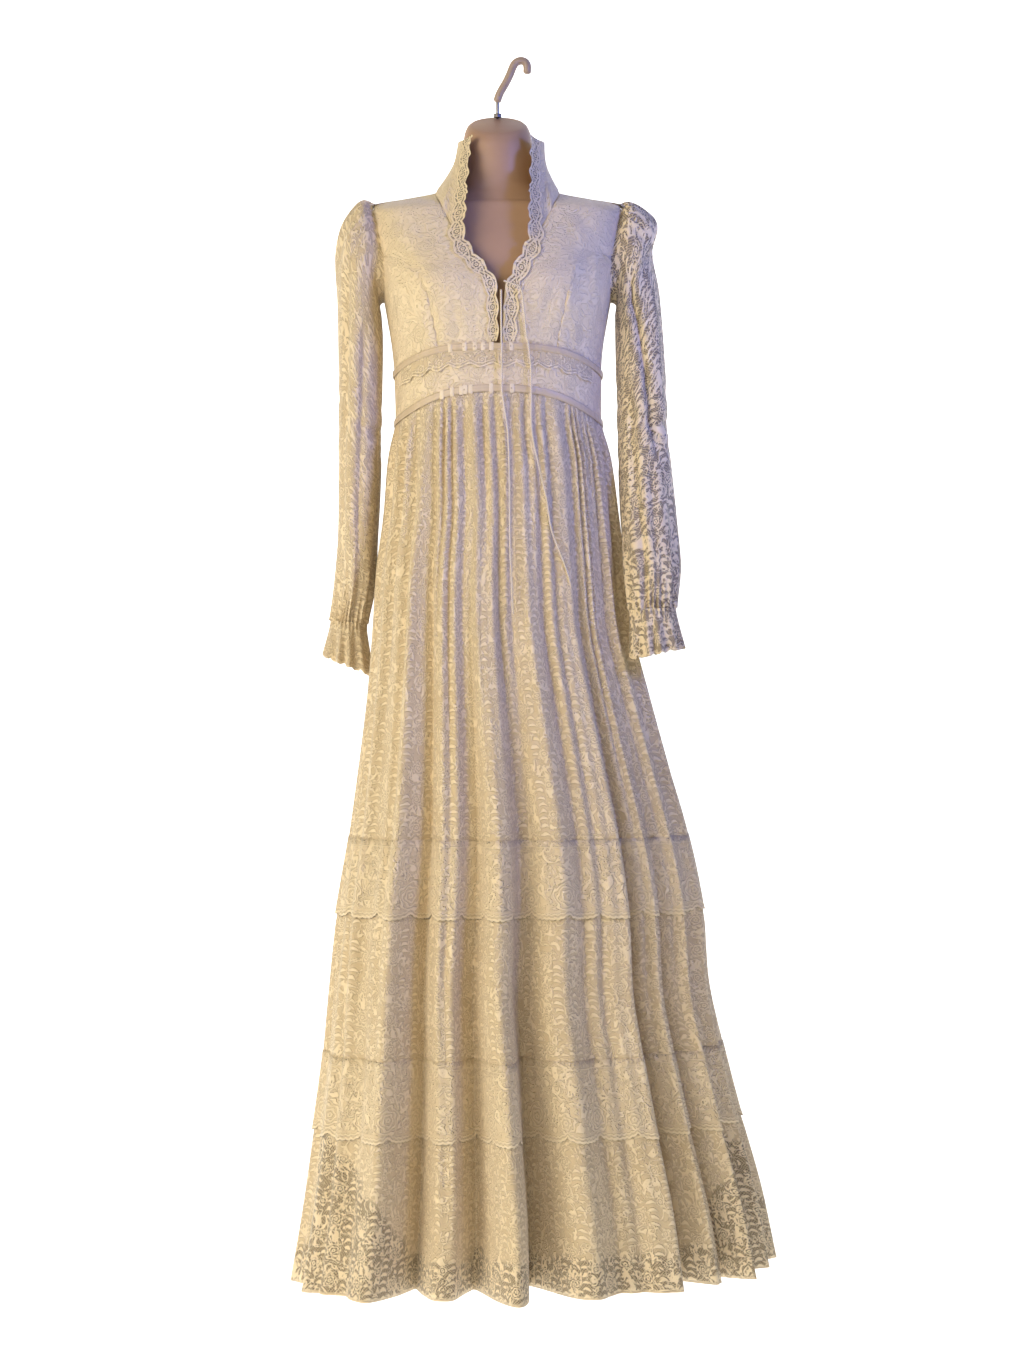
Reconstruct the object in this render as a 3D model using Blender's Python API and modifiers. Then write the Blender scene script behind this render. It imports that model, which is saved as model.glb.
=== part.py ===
"""A lace wedding dress on a limbless hanging form, as solids at their real size.

Metres, +Z up, front towards -Y. Left and right are as seen from the front. The origin is the inner top of the
hook's bend, where the hook hangs. A bearing is an angle round the body in degrees: 0 is the front, 90 the right
side, 180 the back and -90 the left side. A height is a Z. A place counts columns round the skirt.
"""

import math
from collections import namedtuple

import bmesh
import bpy
from mathutils import Vector

PART = "lace_wedding_dress"

# The form's centre line and middle plane
BODY_X = -0.0336
BODY_Y = -0.025

# Cloth walls and the space between pieces
LACE = 0.0013
LINING = 0.0011
RIBBON = 0.0011
SEAM = 0.0004
LAP = 0.0010

# The arched seams above and below the midriff: their height in front, and how far they fall towards the sides
UPPER_SEAM_FRONT = -0.3863
UPPER_SEAM_FALL = 0.0285
UPPER_SEAM_SIDE = UPPER_SEAM_FRONT - UPPER_SEAM_FALL
LOWER_SEAM_FRONT = -0.4398
LOWER_SEAM_FALL = 0.039
LOWER_SEAM_ROUND = 2.4

# Heights of the skirt's seams, and the degrees behind the side over which its top seam rises
SEAM_RISE = 40.0
SKIRT_SEAM_BACK = -0.446
GALLOON_UPPER_TOP = -1.024
GALLOON_UPPER_HEM = -1.115
GALLOON_LOWER_TOP = -1.303
GALLOON_LOWER_HEM = -1.396
LINING_HEM = -1.552
HEM = -1.596

# Bands round the midriff
RIBBON_UPPER = 0.0085
RIBBON_LOWER = 0.0095
EDGING_DROP = 0.023
MIDRIFF_FOOT = 0.0016
MIDRIFF_TOP = 0.0010
TORSO_COLUMNS = 40

# Armholes: ovals on the side of the body
ARMHOLE_HEIGHT = -0.254
ARMHOLE_HALF = 0.064
ARMHOLE_BEARING = 19.0

# Rings of the garment, left and right from the centre line, front and back from the middle plane.
# lean turns a ring, as metres back for each metre right; square under 1 squares its corners.
Section = namedtuple("Section", "height left right front back lean square")
SECTIONS = [
    Section(*row)
    for row in (
        (-0.166, 0.0650, 0.0650, 0.026, 0.052, 0.00, 0.90),
        (-0.175, 0.0820, 0.0820, 0.032, 0.058, 0.00, 0.86),
        (-0.182, 0.1180, 0.1180, 0.042, 0.062, 0.00, 0.82),
        (-0.190, 0.1620, 0.1620, 0.054, 0.070, 0.00, 0.80),
        (-0.203, 0.1640, 0.1640, 0.068, 0.083, 0.00, 0.80),
        (-0.221, 0.1625, 0.1625, 0.082, 0.093, 0.00, 0.80),
        (-0.242, 0.1595, 0.1595, 0.096, 0.099, 0.00, 0.80),
        (-0.261, 0.1555, 0.1555, 0.107, 0.102, 0.00, 0.82),
        (-0.290, 0.1510, 0.1510, 0.118, 0.103, 0.00, 0.84),
        (-0.318, 0.1480, 0.1480, 0.121, 0.101, 0.00, 0.86),
        (-0.350, 0.1425, 0.1425, 0.114, 0.097, 0.00, 0.88),
        (-0.387, 0.1370, 0.1370, 0.102, 0.093, 0.00, 0.90),
        (-0.440, 0.1330, 0.1350, 0.094, 0.090, 0.00, 0.92),
        (-0.480, 0.1330, 0.1360, 0.094, 0.092, 0.01, 0.94),
        (-0.530, 0.1390, 0.1470, 0.099, 0.100, 0.02, 0.96),
        (-0.600, 0.1446, 0.1560, 0.108, 0.110, 0.04, 1.00),
        (-0.670, 0.1540, 0.1640, 0.116, 0.118, 0.06, 1.00),
        (-0.750, 0.1590, 0.1720, 0.123, 0.124, 0.09, 1.00),
        (-0.840, 0.1670, 0.1950, 0.129, 0.130, 0.12, 1.00),
        (-0.930, 0.1760, 0.2200, 0.134, 0.135, 0.15, 1.00),
        (-1.020, 0.1860, 0.2450, 0.139, 0.140, 0.17, 1.00),
        (-1.120, 0.1980, 0.2620, 0.144, 0.144, 0.20, 1.00),
        (-1.220, 0.2060, 0.2690, 0.148, 0.148, 0.22, 1.00),
        (-1.310, 0.2115, 0.2880, 0.152, 0.150, 0.24, 1.00),
        (-1.400, 0.2190, 0.3080, 0.156, 0.152, 0.26, 1.00),
        (-1.500, 0.2300, 0.3350, 0.161, 0.155, 0.27, 1.00),
        (-1.600, 0.2440, 0.3550, 0.166, 0.158, 0.28, 1.00),
    )
]

# The form's own rings. tilt raises a ring's back, as metres up for each metre back.
FormRing = namedtuple("FormRing", "height half front back tilt square")
FORM_RINGS = [
    FormRing(*row)
    for row in (
        (-0.0840, 0.0350, 0.0360, 0.0340, 0.47, 1.00),
        (-0.0885, 0.0400, 0.0405, 0.0385, 0.45, 1.00),
        (-0.1000, 0.0440, 0.0440, 0.0410, 0.38, 1.00),
        (-0.1250, 0.0465, 0.0450, 0.0420, 0.24, 1.00),
        (-0.1500, 0.0470, 0.0450, 0.0420, 0.10, 1.00),
        (-0.1690, 0.0530, 0.0440, 0.0440, 0.00, 1.05),
        (-0.1786, 0.0720, 0.0470, 0.0490, 0.00, 1.25),
        (-0.1890, 0.1080, 0.0540, 0.0570, 0.00, 1.25),
        (-0.1968, 0.1500, 0.0620, 0.0690, 0.00, 1.00),
        (-0.2180, 0.1560, 0.0720, 0.0810, 0.00, 0.90),
        (-0.2420, 0.1535, 0.0850, 0.0900, 0.00, 0.86),
        (-0.2700, 0.1485, 0.0980, 0.0940, 0.00, 0.86),
        (-0.3000, 0.1440, 0.1070, 0.0950, 0.00, 0.87),
        (-0.3400, 0.1385, 0.1050, 0.0905, 0.00, 0.88),
        (-0.4000, 0.1290, 0.0880, 0.0830, 0.00, 0.91),
        (-0.5000, 0.1225, 0.0810, 0.0820, 0.00, 0.95),
        (-0.6000, 0.1240, 0.0870, 0.0860, 0.00, 0.96),
        (-0.6700, 0.1260, 0.0860, 0.0880, 0.00, 0.96),
        (-0.6940, 0.1180, 0.0760, 0.0830, 0.00, 0.96),
        (-0.7040, 0.0960, 0.0560, 0.0620, 0.00, 0.96),
    )
]
FORM_COLUMNS = 24

# Soft shaping of the bust by its princess seams
BUST_ACROSS = 0.082
BUST_HEIGHT = -0.308
BUST_OUT = 0.010
BUST_SPREAD = Vector((0.046, 0.044))

# The front bodice from its lower seam up: the neckline's edge and, beside it, the princess seam. Half is from the
# centre line. On the last rows the outer edge is the armhole, up to the shoulder's tip.
FrontRow = namedtuple("FrontRow", "inner_height inner_half outer_height outer_half")
ARMHOLE = None
FRONT_ROWS = [
    FrontRow(*row)
    for row in (
        (-0.3863, 0.0075, -0.3900, 0.0760),
        (-0.3554, 0.0080, -0.3640, 0.0805),
        (-0.3175, 0.0100, -0.3350, 0.0873),
        (-0.3048, 0.0136, -0.3068, 0.0940),
        (-0.2946, 0.0214, -0.2902, 0.1050),
        (-0.2789, 0.0350, -0.2743, 0.1270),
        (-0.2597, 0.0490, -0.2614, ARMHOLE),
        (-0.2414, 0.0533, -0.2420, ARMHOLE),
        (-0.2155, 0.0655, -0.2200, ARMHOLE),
        (-0.1975, 0.0740, -0.2030, ARMHOLE),
        (-0.1750, 0.0820, -0.1900, ARMHOLE),
    )
]
PRINCESS_TOP = 6
COLLAR_START = 7
FRONT_COLUMNS = 4
SIDE_COLUMNS = 3
BACK_NECK = -0.166
BACK_NECK_COLUMNS = 3
BACK_SHAPING = 8

# The collar's upper edge
COLLAR_CENTRE = Vector((BODY_X + 0.005, BODY_Y - 0.004, -0.109))
COLLAR_HALF = 0.057
COLLAR_FRONT = 0.046
COLLAR_BACK = 0.056
COLLAR_OPENING = 50.0
COLLAR_HOLLOW = 0.004
COLLAR_ROWS = 4

# Folds of the skirt at its hem, from one valley to the next. depth is how far the valley goes in, and rise how far
# the crest after it stands out.
Fold = namedtuple("Fold", "bearing depth rise")
FOLDS = [
    Fold(*row)
    for row in (
        (-88.0, 0.012, 0.014),
        (-60.0, 0.004, 0.026),
        (-34.0, 0.070, 0.008),
        (-15.0, 0.062, 0.056),
        (1.0, 0.080, 0.040),
        (21.0, -0.016, 0.042),
        (39.0, 0.030, 0.032),
        (51.0, 0.022, 0.040),
        (63.0, 0.020, 0.014),
        (85.0, 0.014, 0.022),
        (106.0, 0.040, 0.030),
        (127.0, 0.050, 0.034),
        (149.0, 0.042, 0.030),
        (170.0, 0.056, 0.036),
        (192.0, 0.044, 0.028),
        (214.0, 0.050, 0.032),
        (235.0, 0.040, 0.028),
        (254.0, 0.034, 0.024),
    )
]
FOLD_COLUMNS = 5
SKIRT_COLUMNS = FOLD_COLUMNS * len(FOLDS)
LEFT_SPLIT = 2
RIGHT_SPLIT = 48
FOLD_TOP = -0.48
FOLD_GROWTH = 1.5

# Small gathers below each seam, one for each pair of skirt columns
Gather = namedtuple("Gather", "seam size start spread")
GATHERS = [
    Gather(*row)
    for row in (
        (-0.450, 0.0052, 0.022, 0.240),
        (GALLOON_UPPER_HEM, 0.0024, 0.016, 0.080),
        (GALLOON_LOWER_HEM, 0.0026, 0.016, 0.070),
    )
]

# Where the skirt's rings lie, as shares of each piece from its top to its foot
UPPER_SHARES = (0.0, 0.014, 0.075, 0.260, 0.600, 1.0)
MIDDLE_SHARES = (0.0, 0.35, 1.0)
BAND_SHARES = (0.0, 1.0)
LOWER_SHARES = (0.0, 0.775, 1.0)
LINING_SHARES = (0.0, 0.012, 0.065, 0.28, 0.52, 0.78, 1.0)
LINING_CLEAR = 0.0042
LINING_HEM_CLEAR = 0.006
LINING_START = 0.02
LINING_CREST = 0.75
GATHER_DROP = 0.006

# Gaps cut through the lace, as a part of a cell of the grid: across from and to, up from and to
HEM_GAP = (0.26, 0.74, 0.24, 0.76)
SLEEVE_GAP = (0.34, 0.66, 0.36, 0.64)

# Rings of the sleeves down to the elastic: the outer and the inner side, then half the depth, how far back it
# hangs, and the size of its gathers
SleeveRing = namedtuple("SleeveRing", "outer outer_height inner inner_height depth back gather")
SLEEVE_LEFT = [
    SleeveRing(*row)
    for row in (
        (0.1775, -0.1865, 0.1545, -0.322, 0.052, 0.000, 0.0015),
        (0.1918, -0.2010, 0.1530, -0.334, 0.056, 0.000, 0.0030),
        (0.2036, -0.2227, 0.1520, -0.346, 0.057, 0.000, 0.0030),
        (0.2115, -0.2620, 0.1510, -0.362, 0.055, 0.000, 0.0020),
        (0.2108, -0.3250, 0.1510, -0.392, 0.051, 0.003, 0.0010),
        (0.2098, -0.4100, 0.1520, -0.440, 0.049, 0.006, 0.0005),
        (0.2104, -0.5100, 0.1530, -0.520, 0.048, 0.012, 0.0015),
        (0.2108, -0.6050, 0.1570, -0.610, 0.050, 0.020, 0.0020),
        (0.2135, -0.6850, 0.1640, -0.690, 0.050, 0.026, 0.0030),
        (0.2205, -0.7370, 0.1745, -0.741, 0.032, 0.030, 0.0030),
    )
]
SLEEVE_RIGHT = [
    SleeveRing(*row)
    for row in (
        (0.1740, -0.1875, 0.1560, -0.322, 0.052, 0.000, 0.0015),
        (0.1910, -0.1960, 0.1550, -0.334, 0.056, 0.000, 0.0030),
        (0.2080, -0.2150, 0.1550, -0.346, 0.057, 0.000, 0.0030),
        (0.2020, -0.2500, 0.1550, -0.358, 0.054, 0.000, 0.0010),
        (0.2130, -0.3050, 0.1555, -0.385, 0.052, 0.000, 0.0010),
        (0.2205, -0.4000, 0.1560, -0.420, 0.050, -0.004, 0.0005),
        (0.2265, -0.5100, 0.1580, -0.515, 0.050, -0.010, 0.0015),
        (0.2345, -0.6000, 0.1610, -0.605, 0.050, -0.026, 0.0020),
        (0.2366, -0.6650, 0.1660, -0.668, 0.046, -0.044, 0.0030),
        (0.2310, -0.7220, 0.1720, -0.725, 0.030, -0.056, 0.0030),
    )
]
SLEEVE_COLUMNS = 7
SLEEVE_STAND = 0.0023
SLEEVE_SPREAD = 1.05
SLEEVE_CLEAR = 0.0005

# The ruffle below each elastic: its foot's outer and inner side, and its waves
Cuff = namedtuple("Cuff", "outer outer_height inner inner_height depth waves wave")
CUFF_LEFT = Cuff(0.2290, -0.786, 0.1665, -0.812, 0.042, 11, 0.0045)
CUFF_RIGHT = Cuff(0.2410, -0.776, 0.1760, -0.790, 0.040, 11, 0.0045)
CUFF_GAP = 0.0015

# The edging along the collar, neckline and slit: how far it lies from the cloth's edge, over the panel (minus) and
# into the opening (plus), from the foot of the slit to the collar's top
EdgingRow = namedtuple("EdgingRow", "share over into")
EDGING_LEFT = [
    EdgingRow(*row)
    for row in (
        (0.00, -0.004, 0.009),
        (0.25, -0.004, 0.011),
        (0.38, -0.008, 0.013),
        (0.55, -0.008, 0.016),
        (1.00, -0.005, 0.014),
    )
]
EDGING_RIGHT = [
    EdgingRow(*row)
    for row in (
        (0.00, -0.018, 0.001),
        (0.25, -0.022, 0.001),
        (0.38, -0.016, 0.008),
        (0.55, -0.009, 0.012),
        (1.00, -0.005, 0.015),
    )
]
EDGING_COLUMNS = 30
EDGING_WAVE = 0.0028
EDGING_STAND = 0.0022
EDGING_FOOT = 0.006
EDGING_MIDDLE = 0.45
EDGING_HEEL_WAVE = 0.6

# The edging below the upper ribbon
MIDRIFF_EDGING_FROM = -66.0
MIDRIFF_EDGING_TO = 62.0
MIDRIFF_EDGING_COLUMNS = 50
MIDRIFF_EDGING_WAVE = 0.0032

# The lacing's free ends: from the centre line, height, and how far each point stands off the body's ring
CORD = 0.0025
CORD_POINTS = 30
CordPoint = namedtuple("CordPoint", "across height stand")
LACING_RIGHT = [
    CordPoint(*row)
    for row in (
        (0.0085, -0.3066, 0.0082),
        (0.0190, -0.3100, 0.0082),
        (0.0300, -0.3160, 0.0086),
        (0.0344, -0.3429, 0.0072),
        (0.0370, -0.3679, 0.0056),
        (0.0405, -0.3890, 0.0085),
        (0.0435, -0.4180, 0.0085),
        (0.0438, -0.4450, 0.0085),
        (0.0447, -0.4968, 0.0098),
        (0.0545, -0.5451, 0.0100),
        (0.0626, -0.5794, 0.0100),
        (0.0702, -0.6244, 0.0100),
        (0.0829, -0.6576, 0.0100),
        (0.0906, -0.6793, 0.0100),
        (0.0951, -0.6959, 0.0100),
    )
]
LACING_LEFT = [
    CordPoint(*row)
    for row in (
        (0.0050, -0.3180, 0.0095),
        (0.0052, -0.3500, 0.0085),
        (0.0056, -0.3801, 0.0085),
        (0.0060, -0.4180, 0.0085),
        (0.0063, -0.4450, 0.0085),
        (0.0135, -0.4955, 0.0100),
        (0.0159, -0.5602, 0.0100),
        (0.0165, -0.6372, 0.0100),
        (0.0185, -0.6900, 0.0100),
        (0.0204, -0.7318, 0.0100),
    )
]

# The hook, from its nut on the neck's cap to its tip
HOOK_TUBE = 0.0105
HookPoint = namedtuple("HookPoint", "x z radius")
HOOK = [
    HookPoint(*row)
    for row in (
        (-0.0336, -0.0693, 0.0052),
        (-0.0336, -0.0655, 0.0052),
        (-0.0336, -0.0652, 0.00225),
        (-0.0345, -0.0500, 0.00225),
        (-0.0347, -0.0495, 0.00525),
        (-0.0310, -0.0385, 0.00525),
        (-0.0225, -0.0235, 0.00525),
        (-0.0170, -0.0120, 0.00525),
        (-0.0125, -0.0010, 0.00525),
        (-0.0085, 0.0036, 0.00525),
        (-0.0026, 0.0056, 0.00525),
        (0.0030, 0.0036, 0.00525),
        (0.0056, -0.0015, 0.00525),
        (0.0056, -0.0120, 0.00525),
    )
]


def clear_scene():
    """Removes what the file holds."""
    for thing in list(bpy.data.objects):
        bpy.data.objects.remove(thing)


def finish(name, colour, roughness, metallic=0.0):
    """A plain Principled material."""
    made = bpy.data.materials.new(name)
    made.use_nodes = True
    shader = made.node_tree.nodes["Principled BSDF"]
    shader.inputs["Base Color"].default_value = (*colour, 1.0)
    shader.inputs["Roughness"].default_value = roughness
    shader.inputs["Metallic"].default_value = metallic
    made.diffuse_color = (*colour, 1.0)
    return made


def at_height(rows, height):
    """A table's row at any height, on a smooth curve through its rows, which run downwards."""
    last = len(rows) - 2
    i = next((k for k in range(last) if height >= rows[k + 1].height), last)
    above, below = rows[i], rows[i + 1]
    before, after = rows[max(i - 1, 0)], rows[min(i + 2, len(rows) - 1)]
    span = above.height - below.height
    t = min(1.0, max(0.0, (above.height - height) / span))
    values = []
    for p, a, b, n in zip(before, above, below, after):
        slope_a = (b - p) / (before.height - below.height) * span
        slope_b = (n - a) / (above.height - after.height) * span
        values.append(
            (2 * t**3 - 3 * t**2 + 1) * a
            + (t**3 - 2 * t**2 + t) * slope_a
            + (3 * t**2 - 2 * t**3) * b
            + (t**3 - t**2) * slope_b
        )
    return type(above)(*values)


def power(value, exponent):
    """A signed power."""
    return math.copysign(abs(value) ** exponent, value)


def ring_point(bearing, height):
    """A point of the garment's ring at a height."""
    s = at_height(SECTIONS, height)
    angle = math.radians(bearing)
    half = (s.left + s.right) / 2
    across = half * power(math.sin(angle), s.square)
    ahead = power(math.cos(angle), s.square)
    depth = s.front if ahead > 0 else s.back
    y = -depth * ahead + s.lean * across
    x = (s.right - s.left) / 2 + across
    if ahead > 0:
        y -= bust(x, height)
    return Vector((BODY_X + x, BODY_Y + y, height))


def bust(across, height):
    """How far the cloth stands out over the bust."""
    aside = (abs(across) - BUST_ACROSS) / BUST_SPREAD.x
    above = (height - BUST_HEIGHT) / BUST_SPREAD.y
    return BUST_OUT * math.exp(-(aside**2) - above**2)


def ring_normal(bearing, height, level=False):
    """The way out of the ring's surface; level keeps it horizontal."""
    step = 0.5
    along = ring_point(bearing + step, height) - ring_point(bearing - step, height)
    if level:
        return Vector((along.y, -along.x, 0)).normalized()
    rise = 0.0008
    upper = min(height + rise, SECTIONS[0].height)
    up = ring_point(bearing, upper) - ring_point(bearing, upper - 2 * rise)
    return along.cross(up).normalized()


def body_point(bearing, height, out=0.0):
    """A point that stands out from the garment's ring along its normal."""
    return ring_point(bearing, height) + out * ring_normal(bearing, height)


def bearing_of(half, height):
    """The bearing at which the ring is that far from the centre line."""
    s = at_height(SECTIONS, height)
    share = min(1.0, half / ((s.left + s.right) / 2))
    return math.degrees(math.asin(share ** (1 / s.square)))


def armhole_bearing(height):
    """How far the armhole's edge lies from the side, in degrees."""
    share = min(1.0, abs(height - ARMHOLE_HEIGHT) / ARMHOLE_HALF)
    return ARMHOLE_BEARING * math.sqrt(1 - share**2)


def upper_seam(bearing):
    """Height of the seam below the bust."""
    if abs(bearing) >= 90:
        return UPPER_SEAM_SIDE
    return UPPER_SEAM_FRONT - UPPER_SEAM_FALL * abs(math.sin(math.radians(bearing))) ** 3


def lower_seam(bearing):
    """Height of the skirt's seam: arched in front and raised behind the side seams."""
    away = abs((bearing + 180) % 360 - 180)
    if away < 90:
        return LOWER_SEAM_FRONT - LOWER_SEAM_FALL * math.sin(math.radians(away)) ** LOWER_SEAM_ROUND
    t = min(1.0, (away - 90) / SEAM_RISE)
    return mix(LOWER_SEAM_FRONT - LOWER_SEAM_FALL, SKIRT_SEAM_BACK, t * t * (3 - 2 * t))


def mix(a, b, share):
    """Between two numbers or points."""
    return a + (b - a) * share


def pull_in(rows, sides, gap=SEAM / 2):
    """Draws a grid's named sides in by half a seam: any of bottom, top, first and last."""
    if "bottom" in sides:
        rows[0] = [p + (q - p).normalized() * gap for p, q in zip(rows[0], rows[1])]
    if "top" in sides:
        rows[-1] = [p + (q - p).normalized() * gap for p, q in zip(rows[-1], rows[-2])]
    for row in rows:
        if "first" in sides:
            row[0] = row[0] + (row[1] - row[0]).normalized() * gap
        if "last" in sides:
            row[-1] = row[-1] + (row[-2] - row[-1]).normalized() * gap
    return rows


def shell(name, rows, wall, material, closed=False, gaps=(), gap=HEM_GAP):
    """A wall whose inner face goes through a grid of points, its rows from the bottom up and its columns by
    bearing. gaps lists the cells, as row and column, that have a hole cut through."""
    build = bmesh.new()
    verts = [[build.verts.new(p) for p in row] for row in rows]
    columns = len(rows[0]) if closed else len(rows[0]) - 1
    cut = set(gaps)
    for i in range(len(rows) - 1):
        for j in range(columns):
            k = (j + 1) % len(rows[0])
            corners = [verts[i][j], verts[i][k], verts[i + 1][k], verts[i + 1][j]]
            if (i, j) not in cut:
                build.faces.new(corners)
                continue
            hole = [build.verts.new(p) for p in hole_corners([c.co for c in corners], gap)]
            for n in range(4):
                m = (n + 1) % 4
                build.faces.new((corners[n], corners[m], hole[m], hole[n]))
    return wall_object(name, build, wall, material)


def hole_corners(corners, gap):
    """A smaller four-sided hole inside a four-sided cell."""
    left, right, low, high = gap
    a, b, c, d = corners
    places = ((left, low), (right, low), (right, high), (left, high))
    return [mix(mix(a, b, u), mix(d, c, u), v) for u, v in places]


def wall_object(name, build, wall, material):
    """An object with its thickness outside the faces it is given."""
    thing = mesh_object(name, build, material)
    solid = thing.modifiers.new("Wall", "SOLIDIFY")
    solid.thickness = wall
    solid.offset = 1.0
    solid.use_even_offset = True
    return thing


def mesh_object(name, build, material):
    """An object from a finished bmesh."""
    mesh = bpy.data.meshes.new(name)
    build.to_mesh(mesh)
    build.free()
    mesh.shade_smooth()
    mesh.materials.append(material)
    thing = bpy.data.objects.new(name, mesh)
    bpy.data.collections[PART].objects.link(thing)
    return thing


def tube(name, points, radii, material):
    """A round cord or rod through points, with filled ends."""
    line = bpy.data.curves.new(name, "CURVE")
    line.dimensions = "3D"
    line.bevel_depth = 1.0
    line.bevel_resolution = 2
    line.use_fill_caps = True
    spline = line.splines.new("POLY")
    spline.points.add(len(points) - 1)
    for target, place, radius in zip(spline.points, points, radii):
        target.co = (*place, 1.0)
        target.radius = radius
    line.materials.append(material)
    thing = bpy.data.objects.new(name, line)
    bpy.data.collections[PART].objects.link(thing)
    return thing


def mirrored(rows, side, place):
    """Points from rows of bearing and height on the right side, or the same on the left with columns reversed."""
    if side > 0:
        return [[place(b, h) for b, h in row] for row in rows]
    return [[place(-b, h) for b, h in reversed(row)] for row in rows]


def front_row_ends(i):
    """Bearing and height of both ends of a row of the front bodice."""
    row = FRONT_ROWS[i]
    inner = (bearing_of(row.inner_half, row.inner_height), row.inner_height)
    if i == len(FRONT_ROWS) - 1:
        return (90.0, row.inner_height), (90.0, row.outer_height)
    if row.outer_half is ARMHOLE:
        return inner, (90.0 - armhole_bearing(row.outer_height), row.outer_height)
    return inner, (bearing_of(row.outer_half, row.outer_height), row.outer_height)


def front_panel(side):
    """Bearings and heights of a front panel, from the slit and neckline to the princess seam and armhole."""
    rows = []
    for i in range(len(FRONT_ROWS)):
        (b0, h0), (b1, h1) = front_row_ends(i)
        row = [(mix(b0, b1, j / FRONT_COLUMNS), mix(h0, h1, j / FRONT_COLUMNS)) for j in range(FRONT_COLUMNS + 1)]
        rows.append([(b, upper_seam(b)) for b, _ in row] if i == 0 else row)
    points = pull_in(mirrored(rows, side, body_point), {"bottom", "top"})
    return pull_in(points, {"last" if side > 0 else "first"}, 1.5 * SEAM)


def side_height(i):
    """Height of the side seam's rows, level with those of the princess seam."""
    return mix(upper_seam(90), ARMHOLE_HEIGHT - ARMHOLE_HALF, i / PRINCESS_TOP)


def side_panel(side):
    """A side front panel, from the princess seam to the side seam, with the armhole above."""
    rows = []
    for i in range(PRINCESS_TOP + 1):
        b0, h0 = front_row_ends(i)[1]
        lift = (i / PRINCESS_TOP) ** 2
        row = []
        for j in range(SIDE_COLUMNS + 1):
            b = mix(b0, 90.0, j / SIDE_COLUMNS)
            h = mix(h0, side_height(i), j / SIDE_COLUMNS)
            share = min(1.0, (90 - b) / ARMHOLE_BEARING)
            edge = ARMHOLE_HEIGHT - ARMHOLE_HALF * math.sqrt(1 - share**2)
            if 0 < j < SIDE_COLUMNS:
                h = mix(h, edge, lift)
            row.append((b, upper_seam(b) if i == 0 else h))
        rows.append(row)
    points = pull_in(mirrored(rows, side, body_point), {"bottom"})
    return pull_in(points, {"first", "last"}, 1.5 * SEAM)


def back_edge(i):
    """Bearing and height of the back panel's outer edge: the side seam and then the armhole."""
    if i <= PRINCESS_TOP:
        return 90.0, side_height(i)
    rows = len(FRONT_ROWS) - 1 - PRINCESS_TOP
    angle = math.pi * (i - PRINCESS_TOP) / rows
    height = ARMHOLE_HEIGHT - ARMHOLE_HALF * math.cos(angle)
    return 90.0 + ARMHOLE_BEARING * math.sin(angle), height


def neck_line():
    """Bearings and heights of the back neckline, from the centre back to the shoulder's neck point."""
    neck = FRONT_ROWS[-1].inner_height
    count = BACK_NECK_COLUMNS
    return [(mix(180.0, 90.0, j / count), mix(BACK_NECK, neck, (j / count) ** 2)) for j in range(count + 1)]


def back_panel(side):
    """A back panel, from the side seam and armhole to the centre back, up to the shoulder and back neckline."""
    last = len(FRONT_ROWS) - 1
    columns = BACK_NECK_COLUMNS + FRONT_COLUMNS
    neck = FRONT_ROWS[-1].inner_height
    tip = FRONT_ROWS[-1].outer_height
    shoulder = [(90.0, mix(neck, tip, j / FRONT_COLUMNS)) for j in range(1, FRONT_COLUMNS + 1)]
    top = neck_line() + shoulder
    rows = []
    for i in range(last + 1):
        b1, h1 = back_edge(i)
        h0 = mix(upper_seam(180), BACK_NECK, i / last)
        shape = (i / last) ** BACK_SHAPING
        row = []
        for j in range(columns + 1):
            share = j / columns
            h = mix(mix(h0, h1, share), top[j][1], shape if 0 < j < columns else 0)
            b = mix(180.0, b1, mix(share, (180.0 - top[j][0]) / 90.0, shape))
            row.append(top[j] if i == last else (b, h))
        rows.append(list(reversed(row)))
    return pull_in(mirrored(rows, side, body_point), {"bottom", "top", "first", "last"})


def collar_points():
    """Grid of the collar: its seam below, its ring above, and hollow between them."""
    front = [front_row_ends(i)[0] for i in range(COLLAR_START, len(FRONT_ROWS))]
    back = list(reversed(neck_line()))[1:]
    right = front + back
    left = [(-b, h) for b, h in right]
    seam = [body_point(b, h, LACE + SEAM) for b, h in right + list(reversed(left))[1:]]
    count = len(seam) - 1
    rows = []
    for i in range(COLLAR_ROWS + 1):
        w = i / COLLAR_ROWS
        row = []
        for j, foot in enumerate(seam):
            bearing = mix(COLLAR_OPENING, 360 - COLLAR_OPENING, j / count)
            angle = math.radians(bearing)
            depth = COLLAR_FRONT if math.cos(angle) > 0 else COLLAR_BACK
            way = Vector((math.sin(angle), -math.cos(angle), 0))
            top = COLLAR_CENTRE + Vector((COLLAR_HALF * way.x, depth * way.y, 0))
            hollow = COLLAR_HOLLOW * math.sin(math.pi * j / count) ** 0.5
            row.append(mix(foot, top, w) - way * hollow * 4 * w * (1 - w))
        rows.append(row)
    return rows


def fold_at(place):
    """Bearing and full displacement of the skirt's folds at a place, in columns."""
    turn, place = divmod(place, SKIRT_COLUMNS)
    k = int(place // FOLD_COLUMNS)
    s = place / FOLD_COLUMNS - k
    here, there = FOLDS[k], FOLDS[(k + 1) % len(FOLDS)]
    wrap = 360.0 if k == len(FOLDS) - 1 else 0.0
    bearing = mix(here.bearing, there.bearing + wrap, s) + 360.0 * turn
    valley = -mix(here.depth, there.depth, s)
    return bearing, valley, mix(valley, here.rise, math.sin(math.pi * s) ** 2)


def growth(height):
    """How far the folds have grown at a height, from 0 at their top to 1 at the hem."""
    return max(0.0, (FOLD_TOP - height) / (FOLD_TOP - HEM)) ** FOLD_GROWTH


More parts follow.
